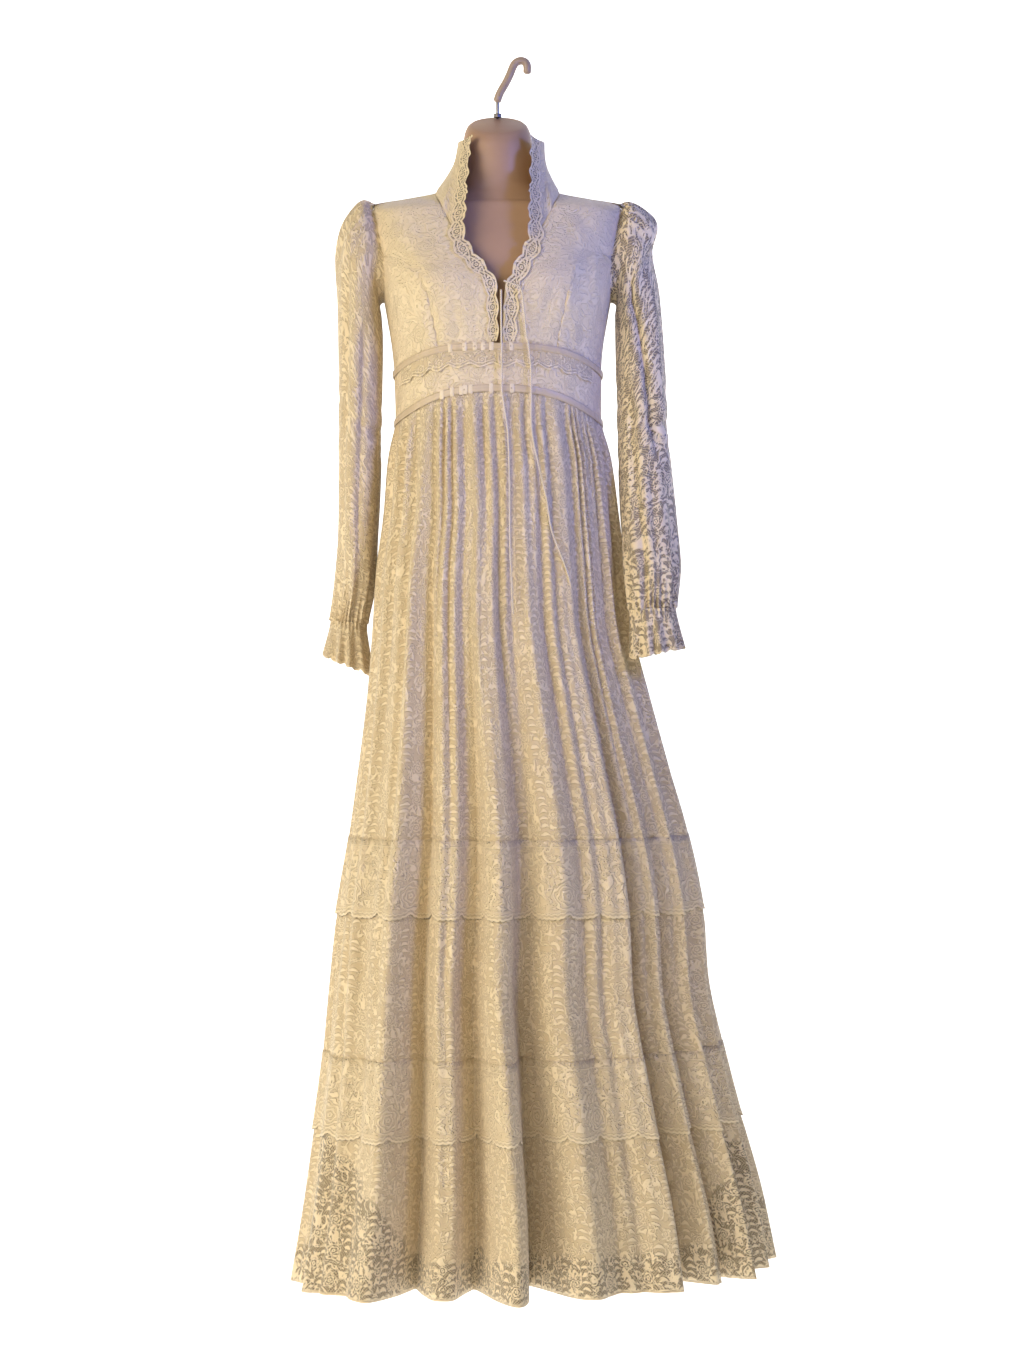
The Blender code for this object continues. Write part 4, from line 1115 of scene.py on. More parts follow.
@dataclass
class Bodice:
    """The six bodice panels and the funnel collar."""

    armhole_height: float = -0.254
    armhole_half: float = 0.064
    armhole_bearing: float = 19.0
    princess_top: int = 6
    collar_start: int = 7
    back_neck: float = -0.166
    columns: int = 48
    rows: int = 84
    wall: float = 0.0010
    seam_width: float = 0.0045
    seam_depth: float = 0.0012
    collar_half: float = 0.057
    collar_front: float = 0.046
    collar_back: float = 0.056
    collar_opening: float = 50.0
    collar_hollow: float = 0.004
    collar_centre: Place = (BODY_X + 0.005, BODY_Y - 0.004, -0.109)

    def ends(self, i: int) -> tuple[tuple[float, float], tuple[float, float]]:
        """Bearing and height of both ends of a front row."""
        row = FRONT_ROWS[i]
        if i == len(FRONT_ROWS) - 1:
            return (90.0, row.inner_height), (90.0, row.outer_height)
        inner = (GARMENT.bearing_of(row.inner_half, row.inner_height), row.inner_height)
        if row.outer_half is None:
            share = min(1.0, abs(row.outer_height - self.armhole_height) / self.armhole_half)
            return inner, (90.0 - self.armhole_bearing * math.sqrt(1 - share**2), row.outer_height)
        return inner, (GARMENT.bearing_of(row.outer_half, row.outer_height), row.outer_height)

    def loft(self, rows: list[np.ndarray], side: Side) -> np.ndarray:
        """Smooth grid through rows of bearings and heights of the right side.

        Args:
            rows: Arrays of bearing and height pairs, from the foot up.
            side: Which hand to make.

        Returns:
            Grid of points.
        """
        table = np.stack(rows)
        bearing = table[..., 0]
        if side is Side.LEFT:
            bearing = -bearing[:, ::-1]
            table = table[:, ::-1]
        body = GARMENT.point(bearing, table[..., 1], 0.0011)
        middle = body[:, body.shape[1] // 2]
        knots = np.concatenate(([0], np.cumsum(np.linalg.norm(np.diff(middle, axis=0), axis=1))))
        return smooth_between(knots, body, spaced(0, knots[-1], self.rows))

    def front(self, side: Side) -> np.ndarray:
        """Grid of a front panel."""
        share = spaced(0, 1, self.columns)
        rows = []
        for i in range(len(FRONT_ROWS)):
            (b0, h0), (b1, h1) = self.ends(i)
            bearing = blend(b0, b1, share)
            height = GARMENT.upper_seam(bearing) if i == 0 else blend(h0, h1, share)
            rows.append(np.stack((bearing, height), -1))
        return self.loft(rows, side)

    def side_height(self, i: int) -> float:
        """Height of the side seam's rows."""
        return blend(-0.4148, self.armhole_height - self.armhole_half, i / self.princess_top)

    def side_front(self, side: Side) -> np.ndarray:
        """Grid of a side front panel."""
        share = spaced(0, 1, self.columns)
        rows = []
        for i in range(self.princess_top + 1):
            b0, h0 = self.ends(i)[1]
            bearing = blend(b0, 90.0, share)
            height = blend(h0, self.side_height(i), share)
            near = np.clip((90 - bearing) / self.armhole_bearing, 0, 1)
            edge = self.armhole_height - self.armhole_half * np.sqrt(1 - near**2)
            height = blend(height, edge, (i / self.princess_top) ** 2)
            rows.append(np.stack((bearing, GARMENT.upper_seam(bearing) if i == 0 else height), -1))
        return self.loft(rows, side)

    def back(self, side: Side) -> np.ndarray:
        """Grid of a back panel."""
        last = len(FRONT_ROWS) - 1
        neck, tip = FRONT_ROWS[-1].inner_height, FRONT_ROWS[-1].outer_height
        share = spaced(0, 1, self.columns)
        turn = 3 / 7
        on_neck = np.clip(share / turn, 0, 1)
        on_shoulder = np.clip((share - turn) / (1 - turn), 0, 1)
        top_bearing = blend(180.0, 90.0, on_neck)
        top_height = np.where(share < turn, blend(self.back_neck, neck, on_neck**2), blend(neck, tip, on_shoulder))
        rows = []
        for i in range(last + 1):
            b1, h1 = 90.0, self.side_height(i)
            if i > self.princess_top:
                angle = math.pi * (i - self.princess_top) / (last - self.princess_top)
                b1 = 90.0 + self.armhole_bearing * math.sin(angle)
                h1 = self.armhole_height - self.armhole_half * math.cos(angle)
            h0 = blend(-0.4148, self.back_neck, i / last)
            shape = (i / last) ** 8
            inside = np.sin(np.pi * share) ** 0.25
            height = blend(blend(h0, h1, share), top_height, shape * inside)
            bearing = blend(180.0, b1, blend(share, (180.0 - top_bearing) / 90.0, shape))
            if i == last:
                bearing, height = top_bearing, top_height
            rows.append(np.stack((bearing, height), -1)[::-1])
        return self.loft(rows, side)

    def collar(self) -> np.ndarray:
        """Grid of the collar, from its seam up to its ring."""
        start = [self.ends(i)[0] for i in range(self.collar_start, len(FRONT_ROWS))]
        bearings = np.array([b for b, _ in start])
        heights = np.array([h for _, h in start])
        front = GARMENT.point(bearings, heights, 0.0017)
        share = spaced(0, 1, 12)[1:]
        back = GARMENT.point(blend(90.0, 180.0, share), blend(heights[-1], self.back_neck, 1 - (1 - share) ** 2), 0.0017)
        right = np.concatenate((front, back))
        left = right[::-1][1:] * (-1, 1, 1) + (2 * BODY_X, 0, 0)
        seam = np.concatenate((right, left))
        places = np.concatenate((np.linspace(0, 3, 4) / 6, 0.5 + share / 2))
        places = np.concatenate((places, 2 - places[::-1][1:])) / 2
        seam = smooth_between(places, seam, spaced(0, 1, 150))
        angle = np.radians(blend(self.collar_opening, 360 - self.collar_opening, spaced(0, 1, 150)))
        way = np.stack((np.sin(angle), -np.cos(angle), np.zeros_like(angle)), -1)
        depth = np.where(np.cos(angle) > 0, self.collar_front, self.collar_back)
        reach = np.stack((self.collar_half * way[:, 0], depth * way[:, 1], np.zeros_like(angle)), -1)
        top = np.array(self.collar_centre) + reach
        hollow = self.collar_hollow * np.sin(np.pi * spaced(0, 1, 150)) ** 0.5
        rise = spaced(0, 1, 48)[:, None, None]
        return blend(seam, top, rise) - way * hollow[:, None] * 4 * rise * (1 - rise)

    def sewn(self, points: np.ndarray, seams: Sequence[str]) -> np.ndarray:
        """Draws a grid in along its seams and presses its creases.

        Args:
            points: Grid of points.
            seams: Sides that are sewn: first, last, top and bottom.

        Returns:
            The grid.
        """
        out = grid_normals(points)
        chart, (width, height) = average_cloth(points)
        edges = {
            "first": chart[..., 0],
            "last": width - chart[..., 0],
            "bottom": chart[..., 1],
            "top": height - chart[..., 1],
        }
        near = np.min([edges[s] for s in seams], axis=0)
        pucker = 0.6 + 0.4 * np.sin(chart[..., 1] * 520 + 3 * np.sin(chart[..., 1] * 90))
        dip = self.seam_depth * np.exp(-((near / self.seam_width) ** 2)) * pucker
        return crease(points - out * dip[..., None], out)

    def build(self, lace: bpy.types.Material) -> None:
        """Makes and dresses every panel and the collar.

        Args:
            lace: The bodice lace.
        """
        for side in Side:
            grids = {
                "front": (self.front(side), ("last" if side is Side.RIGHT else "first", "bottom", "top")),
                "side_front": (self.side_front(side), ("first", "last", "bottom")),
                "back": (self.back(side), ("first", "last", "bottom", "top")),
            }
            for part, (points, seams) in grids.items():
                node = f"{part}_{side.hand}"
                self.sheet(node, self.sewn(points, seams), lace)
        collar = self.collar()
        self.sheet("collar", self.sewn(collar, ("bottom",)), lace)

    def sheet(self, node: str, points: np.ndarray, lace: bpy.types.Material) -> None:
        """Makes one panel that replaces its node."""
        chart, flat = average_cloth(points)
        piece = cloth(f"{node}_cloth", points, chart, self.wall)
        dress(piece, lace, [node])


class Fold(NamedTuple):
    """A fold of the skirt at its hem: where its valley is, how deep, and how far the crest after it stands out."""

    bearing: float
    depth: float
    rise: float


FOLDS = (
    Fold(-88.0, 0.012, 0.014),
    Fold(-60.0, 0.004, 0.026),
    Fold(-34.0, 0.070, 0.008),
    Fold(-15.0, 0.062, 0.056),
    Fold(1.0, 0.080, 0.040),
    Fold(21.0, -0.016, 0.042),
    Fold(39.0, 0.030, 0.032),
    Fold(51.0, 0.022, 0.040),
    Fold(63.0, 0.020, 0.014),
    Fold(85.0, 0.014, 0.022),
    Fold(106.0, 0.040, 0.030),
    Fold(127.0, 0.050, 0.034),
    Fold(149.0, 0.042, 0.030),
    Fold(170.0, 0.056, 0.036),
    Fold(192.0, 0.044, 0.028),
    Fold(214.0, 0.050, 0.032),
    Fold(235.0, 0.040, 0.028),
    Fold(254.0, 0.034, 0.024),
)


class Gather(NamedTuple):
    """Small gathers below a seam: its height, their size, and how they start and fade."""

    seam: float
    size: float
    start: float
    spread: float


@dataclass
class Skirt:
    """The gathered tiers, their galloon bands and the lining."""

    upper_galloon: tuple[float, float] = (-1.024, -1.115)
    lower_galloon: tuple[float, float] = (-1.303, -1.396)
    lining_hem: float = -1.552
    hem: float = -1.596
    fold_top: float = -0.48
    fold_growth: float = 1.5
    fold_columns: int = 5
    valley_sharpness: float = 1.6
    columns: int = 720
    wall: float = 0.0007
    band_out: float = 0.0034
    band_drop: float = 0.007
    sheer: tuple[tuple[float, float, float], ...] = ((2.0, 0.22, 0.16), (40.5, 0.20, 0.15), (61.0, 0.16, 0.08))
    gathers: tuple[Gather, ...] = (
        Gather(-0.450, 0.0050, 0.022, 0.240),
        Gather(-1.115, 0.0030, 0.016, 0.110),
        Gather(-1.396, 0.0030, 0.016, 0.100),
    )

    def fold(self, place: np.ndarray) -> tuple[np.ndarray, np.ndarray, np.ndarray]:
        """Bearing, valley line and full displacement of the folds at places counted in CAD columns."""
        count = len(FOLDS)
        turn, within = np.divmod(place, count * self.fold_columns)
        k = np.minimum((within // self.fold_columns).astype(int), count - 1)
        s = within / self.fold_columns - k
        bearings = np.array([f.bearing for f in FOLDS] + [FOLDS[0].bearing + 360])
        depths = np.array([f.depth for f in FOLDS] + [FOLDS[0].depth])
        rises = np.array([f.rise for f in FOLDS])
        bearing = blend(bearings[k], bearings[k + 1], s) + 360 * turn
        valley = -blend(depths[k], depths[k + 1], s)
        return bearing, valley, blend(valley, rises[k], np.sin(np.pi * s) ** self.valley_sharpness)

    def growth(self, height: np.ndarray) -> np.ndarray:
        """How far the folds have grown."""
        return np.clip((self.fold_top - height) / (self.fold_top - self.hem), 0, None) ** self.fold_growth

    def gather_size(self, height: np.ndarray, seam: np.ndarray) -> np.ndarray:
        """Size of the gathers at a height."""
        size = np.zeros_like(height)
        for n, g in enumerate(self.gathers):
            below = (seam - 0.005 if n == 0 else g.seam) - height
            size += np.where(below > 0, g.size * (1 - np.exp(-below / g.start)) * np.exp(-below / g.spread), 0)
        return size

    def small_folds(self, place: np.ndarray, height: np.ndarray) -> np.ndarray:
        """Uneven minor folds between the main ones, from fixed seeded waves."""
        chance = np.random.default_rng(SEED)
        total = np.zeros_like(place)
        for turns in (23, 31, 37, 52, 67):
            phase = chance.uniform(0, 2 * math.pi)
            drift = chance.uniform(-1.6, 1.6)
            size = chance.uniform(0.4, 1.0) * 0.0020
            total += size * np.sin(2 * np.pi * turns * place / 90 + phase + drift * height * 2)
        return total * np.clip((-0.50 - height) / 0.25, 0, 1)

    def lace_grid(self, places: np.ndarray, heights: np.ndarray, out: Any = 0.0) -> np.ndarray:
        """Points of the lace skirt.

        Args:
            places: A place for each column.
            heights: Heights, a row for each row of the grid.
            out: How far the cloth lies outside the skirt's own surface.

        Returns:
            Grid of points.
        """
        place = np.broadcast_to(places, heights.shape)
        bearing, _, fold = self.fold(place)
        drift = 0.55 * np.sin(2 * np.pi * place / 11.25) + 0.35 * np.sin(2 * np.pi * place / 6.43 + 1.0)
        uneven = 1 + 0.45 * np.sin(2 * np.pi * place / 7.5 + 0.6) * np.sin(2 * np.pi * place / 18 + 2)
        gather = np.cos(np.pi * (place + drift)) * uneven * self.gather_size(heights, GARMENT.lower_seam(bearing))
        reach = fold * self.growth(heights) + gather + self.small_folds(place, heights) + 0.0009 + out
        return GARMENT.ring(bearing, heights) + reach[..., None] * GARMENT.normal(bearing, heights, True)

    def lining_grid(self, places: np.ndarray, heights: np.ndarray) -> np.ndarray:
        """Points of the lining, inside the lace's valleys and short of its crests."""
        place = np.broadcast_to(places, heights.shape)
        bearing, valley, fold = self.fold(place)
        inside = blend(valley, fold, 0.72) * self.growth(heights)
        seam = GARMENT.lower_seam(bearing)
        start = np.clip((seam - heights) / 0.02, 0, 1)
        clear = 0.0008 + start * (0.0045 + self.gather_size(heights, seam) + 0.006 * self.growth(heights))
        return GARMENT.ring(bearing, heights) + (inside - clear)[..., None] * GARMENT.normal(bearing, heights, True)

    def tier(
        self,
        name: str,
        nodes: Sequence[str],
        top: Any,
        foot: float,
        rows: int,
        out: float,
        material: bpy.types.Material,
    ) -> None:
        """Makes one tier or band of the lace skirt.

        Args:
            name: The piece's name.
            nodes: CAD nodes that it replaces.
            top: Height of its upper edge, one for all or one for each column.
            foot: Height of its lower edge.
            rows: How many rows of faces it has.
            out: How far it lies outside the skirt's own surface.
            material: Its finish.
        """
        places = spaced(0, len(FOLDS) * self.fold_columns, self.columns)
        share = spaced(0, 1, rows)[:, None]
        heights = blend(foot, np.broadcast_to(top, places.shape)[None], share)
        points = self.lace_grid(places, heights, out * (1 - 0.75 * share))
        across = lengths_along(points[:1], 1)
        width = float(across[0, -1])
        fall = float(np.mean(heights[-1]) - foot)
        chart = np.stack((np.broadcast_to(across, heights.shape), heights - foot), -1)
        piece = cloth(name, points, chart, self.wall, closed=True, outward=1.0)
        dress(piece, material, nodes)
        LOG.info("%s: cut %.2f by %.2f m", name, width, fall)

    def build(
        self,
        tiers: SkirtLace,
        galloon: GalloonLace,
        lining: bpy.types.Material,
        thread: bpy.types.Material,
    ) -> None:
        """Makes and dresses the skirt.

        Args:
            tiers: The tiers' lace.
            galloon: The bands' lace.
            lining: The lining's finish.
            thread: The hem binding's finish.
        """
        places = spaced(0, len(FOLDS) * self.fold_columns, self.columns)
        seam = GARMENT.lower_seam(self.fold(places)[0])
        lined = tiers.material("tier lace over lining")
        foot_line = self.lace_grid(places, np.full((1, len(places)), self.hem))
        along = lengths_along(foot_line, 1)[0]
        across = [float(np.interp(place, places, along)) for place, _, _ in self.sheer]
        spots = [SheerSpot(a, half, rise) for a, (_, half, rise) in zip(across, self.sheer)]
        hem_lace = tiers.material("tier lace with sheer hem", self.lining_hem - self.hem, spots)
        band = galloon.material(self.upper_galloon[0] - self.upper_galloon[1] + self.band_drop)
        top, foot = self.upper_galloon
        low_top, low_foot = self.lower_galloon
        plan = (
            ("upper_tier", ["skirt_upper"], seam - 0.0005, top, 56, 0.0, lined),
            ("upper_band", ["galloon_upper"], top + 0.004, foot - self.band_drop, 12, self.band_out, band),
            ("middle_tier", ["skirt_middle"], foot + 0.012, low_top, 22, 0.0, lined),
            ("lower_band", ["galloon_lower"], low_top + 0.004, low_foot - self.band_drop, 12, self.band_out, band),
            ("bottom_tier", ["skirt_lower_front", "skirt_lower_back"], low_foot + 0.012, self.hem, 26, 0.0, hem_lace),
        )
        for name, nodes, upper, lower, rows, out, material in plan:
            self.tier(name, nodes, upper, lower, rows, out, material)
        self.lining(places, seam, lining)
        self.hem_binding(places, thread)

    def lining(self, places: np.ndarray, seam: np.ndarray, material: bpy.types.Material) -> None:
        """Makes the lining."""
        share = spaced(0, 1, 44)[:, None]
        heights = blend(self.lining_hem, seam[None] - 0.0005, share)
        places = places[::2]
        heights = heights[:, ::2]
        points = self.lining_grid(places, heights)
        chart, flat = average_cloth(points)
        piece = cloth("lining_cloth", points, chart, 0.0006, closed=True)
        dress(piece, material, ["skirt_lining"])

    def hem_binding(self, places: np.ndarray, thread: bpy.types.Material) -> None:
        """Makes the narrow rolled edge along the hem."""
        heights = np.full((1, len(places)), self.hem + 0.0012)
        line = self.lace_grid(places, heights)[0]
        out = GARMENT.normal(self.fold(places)[0], heights[0], True)
        up = np.array((0, 0, 1.0))
        rows = [line + 0.0012 * (math.cos(t) * out + math.sin(t) * up) for t in spaced(-math.pi, math.pi, 8)]
        points = np.stack(rows)
        chart, _ = average_cloth(points)
        piece = cloth("hem_binding", points, chart, 0.0, closed=True)
        dress(piece, thread)


class EdgingRow(NamedTuple):
    """How far the neck edging lies over the panel and into the opening, at a share of its length."""

    share: float
    over: float
    into: float


@dataclass
class Trims:
    """Midriff, ribbons with their beading bars, and the gathered edgings."""

    columns: int = 480
    upper_ribbon: float = 0.0085
    lower_ribbon: float = 0.0095
    ribbon_out: float = 0.0031
    narrowest: float = 0.010
    bar_pitch: float = 0.0140
    bar_width: float = 0.0054
    upper_bars: tuple[float, ...] = (-0.0600, -0.0415, -0.0283, -0.0178, -0.0073, 0.0178)
    lower_bars: tuple[float, ...] = (-0.0718, -0.0587, -0.0468, -0.0415, -0.0349, -0.0086, 0.0178)
    back_bars: tuple[float, ...] = (148.0, 159.0, 168.0, 181.0, 190.0, 204.0, 219.0)
    edging_drop: float = 0.023
    edging_from: float = -66.0
    edging_to: float = 62.0
    edging_columns: int = 420
    edging_wave: float = 0.0016
    edging_fullness: float = 1.06
    neck_columns: int = 420
    neck_width: float = 0.020
    neck_wave: float = 0.0030
    neck_stand: float = 0.0024
    neck_foot: float = 0.006
    neck_left: tuple[EdgingRow, ...] = (
        EdgingRow(0.00, -0.005, 0.010),
        EdgingRow(0.25, -0.006, 0.012),
        EdgingRow(0.38, -0.010, 0.014),
        EdgingRow(0.55, -0.010, 0.016),
        EdgingRow(1.00, -0.010, 0.013),
    )
    neck_right: tuple[EdgingRow, ...] = (
        EdgingRow(0.00, -0.018, 0.001),
        EdgingRow(0.25, -0.022, 0.001),
        EdgingRow(0.38, -0.013, 0.012),
        EdgingRow(0.55, -0.006, 0.019),
        EdgingRow(0.80, -0.006, 0.017),
        EdgingRow(1.00, -0.009, 0.013),
    )

    def build(
        self,
        bodice: Bodice,
        lace: bpy.types.Material,
        satin: bpy.types.Material,
        thread: bpy.types.Material,
    ) -> None:
        """Makes and dresses the trims.

        Args:
            bodice: The bodice, for the line of the opening.
            lace: The bodice lace.
            satin: The ribbons' satin.
            thread: The beading's thread.
        """
        self.midriff(lace)
        self.ribbon("ribbon_upper", GARMENT.upper_seam, self.upper_ribbon, satin, thread, self.upper_bars)
        self.ribbon("ribbon_lower", GARMENT.lower_seam, self.lower_ribbon, satin, thread, self.lower_bars)
        self.midriff_edging(EdgingLace().material("midriff edging lace", self.edging_drop, False))
        neck = EdgingLace().material("neck edging lace", self.neck_width, True)
        self.neck_edging(bodice, Side.LEFT, self.neck_left, neck)
        self.neck_edging(bodice, Side.RIGHT, self.neck_right, neck)

    def midriff(self, lace: bpy.types.Material) -> None:
        """Makes the band between the seams, a little full between them."""
        bearing = spaced(-180, 180, self.columns)
        share = spaced(0, 1, 20)[:, None]
        heights = blend(GARMENT.lower_seam(bearing) - 0.002, GARMENT.upper_seam(bearing) + 0.002, share)
        turn = np.radians(bearing)
        seam = 1 - np.sin(np.pi * share)
        pull = 0.0006 * np.sin(47 * turn + 2 * np.sin(5 * turn)) * seam
        out = 0.0006 + 0.0014 * np.sin(np.pi * share) ** 0.5 + pull
        points = GARMENT.point(np.broadcast_to(bearing, heights.shape), heights, out)
        chart, flat = average_cloth(points)
        piece = cloth("midriff_cloth", points, chart, 0.0008, closed=True)
        dress(piece, lace, ["midriff"])

    def bar_places(self, along: np.ndarray) -> np.ndarray:
        """Counts the beading's bars along a ribbon; they are a little uneven."""
        turns = round(along[-1] / self.bar_pitch)
        share = along / along[-1]
        return share * turns + 0.22 * np.sin(2 * np.pi * share * 9) + 0.16 * np.sin(2 * np.pi * share * 23)

    def ribbon(
        self,
        node: str,
        seam: Callable[[Any], np.ndarray],
        width: float,
        satin: bpy.types.Material,
        thread: bpy.types.Material,
        bars: Sequence[float],
    ) -> None:
        """Makes a ribbon over a seam, and the beading's bars that hold it down.

        Args:
            node: The ribbon's node.
            seam: Height of the seam at a bearing.
            width: The ribbon's width.
            satin: The ribbon's finish.
            thread: The bars' finish.
            bars: How far each front bar lies from the centre line.
        """
        bearing = spaced(-180, 180, self.columns * 2)
        share = spaced(-0.5, 0.5, 6)[:, None]
        line = GARMENT.point(bearing, seam(bearing), self.ribbon_out)
        along = lengths_along(line[None], 1)[0]
        swell = np.abs(np.sin(np.pi * self.bar_places(along)))
        out = self.ribbon_out + 0.0006 * swell - 0.0005 * (2 * share) ** 2
        heights = seam(bearing) + width * share
        points = GARMENT.point(np.broadcast_to(bearing, heights.shape), heights, out)
        chart, flat = average_cloth(points)
        piece = cloth(f"{node}_cloth", points, chart, 0.0004, closed=True)
        dress(piece, satin, [node])
        max(flat[1], self.narrowest)
        front = [math.copysign(GARMENT.bearing_of(abs(half), float(seam(0.0))), half) for half in bars]
        self.beading(f"{node}_bars", seam, width, [*front, *self.back_bars], thread)

    def beading(
        self,
        name: str,
        seam: Callable[[Any], np.ndarray],
        width: float,
        bearings: Sequence[float],
        thread: bpy.types.Material,
    ) -> None:
        """Makes the upright bars across a ribbon as one mesh."""
        bars = []
        for bearing in bearings:
            height = float(seam(bearing))
            bpy.ops.mesh.primitive_cube_add(size=1.0, scale=(self.bar_width, 0.0007, width + 0.0024))
            bar = bpy.context.object
            bar.rotation_euler = Vector(GARMENT.normal(bearing, height)).to_track_quat("-Y", "Z").to_euler()
            bar.location = Vector(GARMENT.point(bearing, height, self.ribbon_out + 0.0002))
            bars.append(bar)
        bpy.ops.object.select_all(action="DESELECT")
        for bar in bars:
            bar.select_set(True)
        bpy.context.view_layer.objects.active = bars[0]
        bpy.ops.object.transform_apply(location=True, rotation=True, scale=True)
        bpy.ops.object.join()
        piece = bpy.context.object
        piece.name = name
        rounded = piece.modifiers.new("Round", "BEVEL")
        rounded.width = 0.0003
        rounded.segments = 2
        apply_modifiers(piece)
        bpy.ops.object.shade_smooth()
        dress(piece, thread)

    def midriff_edging(self, lace: bpy.types.Material) -> None:
        """Makes the gathered edging that hangs below the upper ribbon."""
        bearing = spaced(self.edging_from, self.edging_to, self.edging_columns)
        turn = np.radians(bearing)
        share = spaced(1, 0, 14)[:, None]
        top = GARMENT.upper_seam(bearing) - self.upper_ribbon / 2 + 0.001
        heights = top - self.edging_drop * (1 + 0.05 * np.sin(31 * turn)) * share
        phase = 72 * turn + 1.4 * np.sin(9 * turn) + 0.8 * np.sin(23 * turn)
        out = 0.0024 + (0.0016 + self.edging_wave * (0.5 + 0.5 * np.sin(phase))) * share**2
        points = GARMENT.point(np.broadcast_to(bearing, heights.shape), heights, out)
        chart, flat = average_cloth(points)
        chart = np.stack((chart[..., 0] * self.edging_fullness, self.edging_drop - chart[..., 1]), -1)
        piece = cloth("midriff_edging_cloth", points, chart, 0.0)
        dress(piece, lace, ["midriff_edging"])

    def opening(self, bodice: Bodice, side: Side) -> tuple[np.ndarray, np.ndarray]:
        """Points and outward normals up the edge of the slit, the neckline and the collar's front."""
        points = []
        normals = []
        for i in range(bodice.collar_start):
            bearing, height = bodice.ends(i)[0]
            height = max(height, float(GARMENT.upper_seam(bearing)) + self.neck_foot)
            points.append(GARMENT.point(side.value * bearing, height))
            normals.append(GARMENT.normal(side.value * bearing, height))
        collar = bodice.collar()[::12]
        column, beside = (0, 8) if side is Side.RIGHT else (-1, -9)
        for i, row in enumerate(collar):
            along = collar[min(i + 1, len(collar) - 1), column] - collar[max(i - 1, 0), column]
            across = (row[beside] - row[column]) * side.value
            points.append(row[column])
            normals.append(unit(np.cross(across, along)))
        return np.array(points), np.array(normals)

    def neck_edging(self, bodice: Bodice, side: Side, table: Sequence[EdgingRow], lace: bpy.types.Material) -> None:
        """Makes the gathered edging along one side of the opening."""
        edge, normals = self.opening(bodice, side)
        knots = np.concatenate(([0], np.cumsum(np.linalg.norm(np.diff(edge, axis=0), axis=1))))
        even = spaced(0, knots[-1], self.neck_columns)
        line = smooth_between(knots, edge, even)
        out = unit(smooth_between(knots, normals, even))
        into = unit(np.cross(np.gradient(line, axis=0), out)) * -side.value
        share = even / knots[-1]
        rows = np.array(table)
        over = np.interp(share, rows[:, 0], rows[:, 1])
        reach = np.interp(share, rows[:, 0], rows[:, 2])
        turns = 22 * share + 0.3 * np.sin(6 * np.pi * share) + 0.2 * np.sin(14 * np.pi * share)
        wave = self.neck_wave * (0.5 + 0.5 * np.sin(2 * np.pi * turns))
        lanes = spaced(0, 1, 14)
        columns = []
        for lane in lanes:
            lift = 0.5 * max(0.0, 1 - lane / 0.45) ** 2 + max(0.0, (lane - 0.45) / 0.55) ** 2
            offset = blend(over, reach, lane)
            stand = self.neck_stand + wave * lift
            columns.append(line + into * offset[:, None] + out * stand[:, None])
        points = np.stack(columns, 1)
        chart_up = np.broadcast_to(lanes * self.neck_width, points.shape[:2])
        chart_across = np.broadcast_to(even[:, None] * self.edging_fullness, points.shape[:2])
        chart = np.stack((chart_across, chart_up), -1)
        if side is Side.RIGHT:
            points, chart = points[:, ::-1], chart[:, ::-1]
        piece = cloth(f"neck_edging_{side.hand}_cloth", points, chart, 0.0)
        dress(piece, lace, [f"neck_edging_{side.hand}"])


class SleeveRing(NamedTuple):
    """A ring of a sleeve: its outer and inner side, half its depth, and how far back it hangs."""

    outer: float
    outer_height: float
    inner: float
    inner_height: float
    depth: float
    back: float


SLEEVE_LEFT = (
    SleeveRing(0.1775, -0.1865, 0.1545, -0.322, 0.052, 0.000),
    SleeveRing(0.1918, -0.2010, 0.1530, -0.334, 0.056, 0.000),
    SleeveRing(0.2036, -0.2227, 0.1520, -0.346, 0.057, 0.000),
    SleeveRing(0.2115, -0.2620, 0.1510, -0.362, 0.055, 0.000),
    SleeveRing(0.2108, -0.3250, 0.1510, -0.392, 0.051, 0.003),
    SleeveRing(0.2098, -0.4100, 0.1520, -0.440, 0.049, 0.006),
    SleeveRing(0.2104, -0.5100, 0.1530, -0.520, 0.048, 0.012),
    SleeveRing(0.2108, -0.6050, 0.1570, -0.610, 0.050, 0.020),
    SleeveRing(0.2135, -0.6850, 0.1640, -0.690, 0.050, 0.026),
    SleeveRing(0.2205, -0.7370, 0.1745, -0.741, 0.032, 0.030),
)
SLEEVE_RIGHT = (
    SleeveRing(0.1740, -0.1875, 0.1560, -0.322, 0.052, 0.000),
    SleeveRing(0.1910, -0.1960, 0.1550, -0.334, 0.056, 0.000),
    SleeveRing(0.2080, -0.2150, 0.1550, -0.346, 0.057, 0.000),
    SleeveRing(0.2020, -0.2500, 0.1550, -0.358, 0.054, 0.000),
    SleeveRing(0.2130, -0.3050, 0.1555, -0.385, 0.052, 0.000),
    SleeveRing(0.2205, -0.4000, 0.1560, -0.420, 0.050, -0.004),
    SleeveRing(0.2265, -0.5100, 0.1580, -0.515, 0.050, -0.010),
    SleeveRing(0.2345, -0.6000, 0.1610, -0.605, 0.050, -0.026),
    SleeveRing(0.2366, -0.6650, 0.1660, -0.668, 0.046, -0.044),
    SleeveRing(0.2310, -0.7220, 0.1720, -0.725, 0.030, -0.056),
)
CUFF_LEFT = SleeveRing(0.2290, -0.786, 0.1665, -0.812, 0.042, 0.030)
CUFF_RIGHT = SleeveRing(0.2410, -0.776, 0.1760, -0.790, 0.040, -0.056)


class Trough(NamedTuple):
    """A long fold down a sleeve: angle and distance where it starts, where it ends, slant, width and depth."""

    angle: float
    start: float
    end: float
    slant: float
    width: float
    depth: float


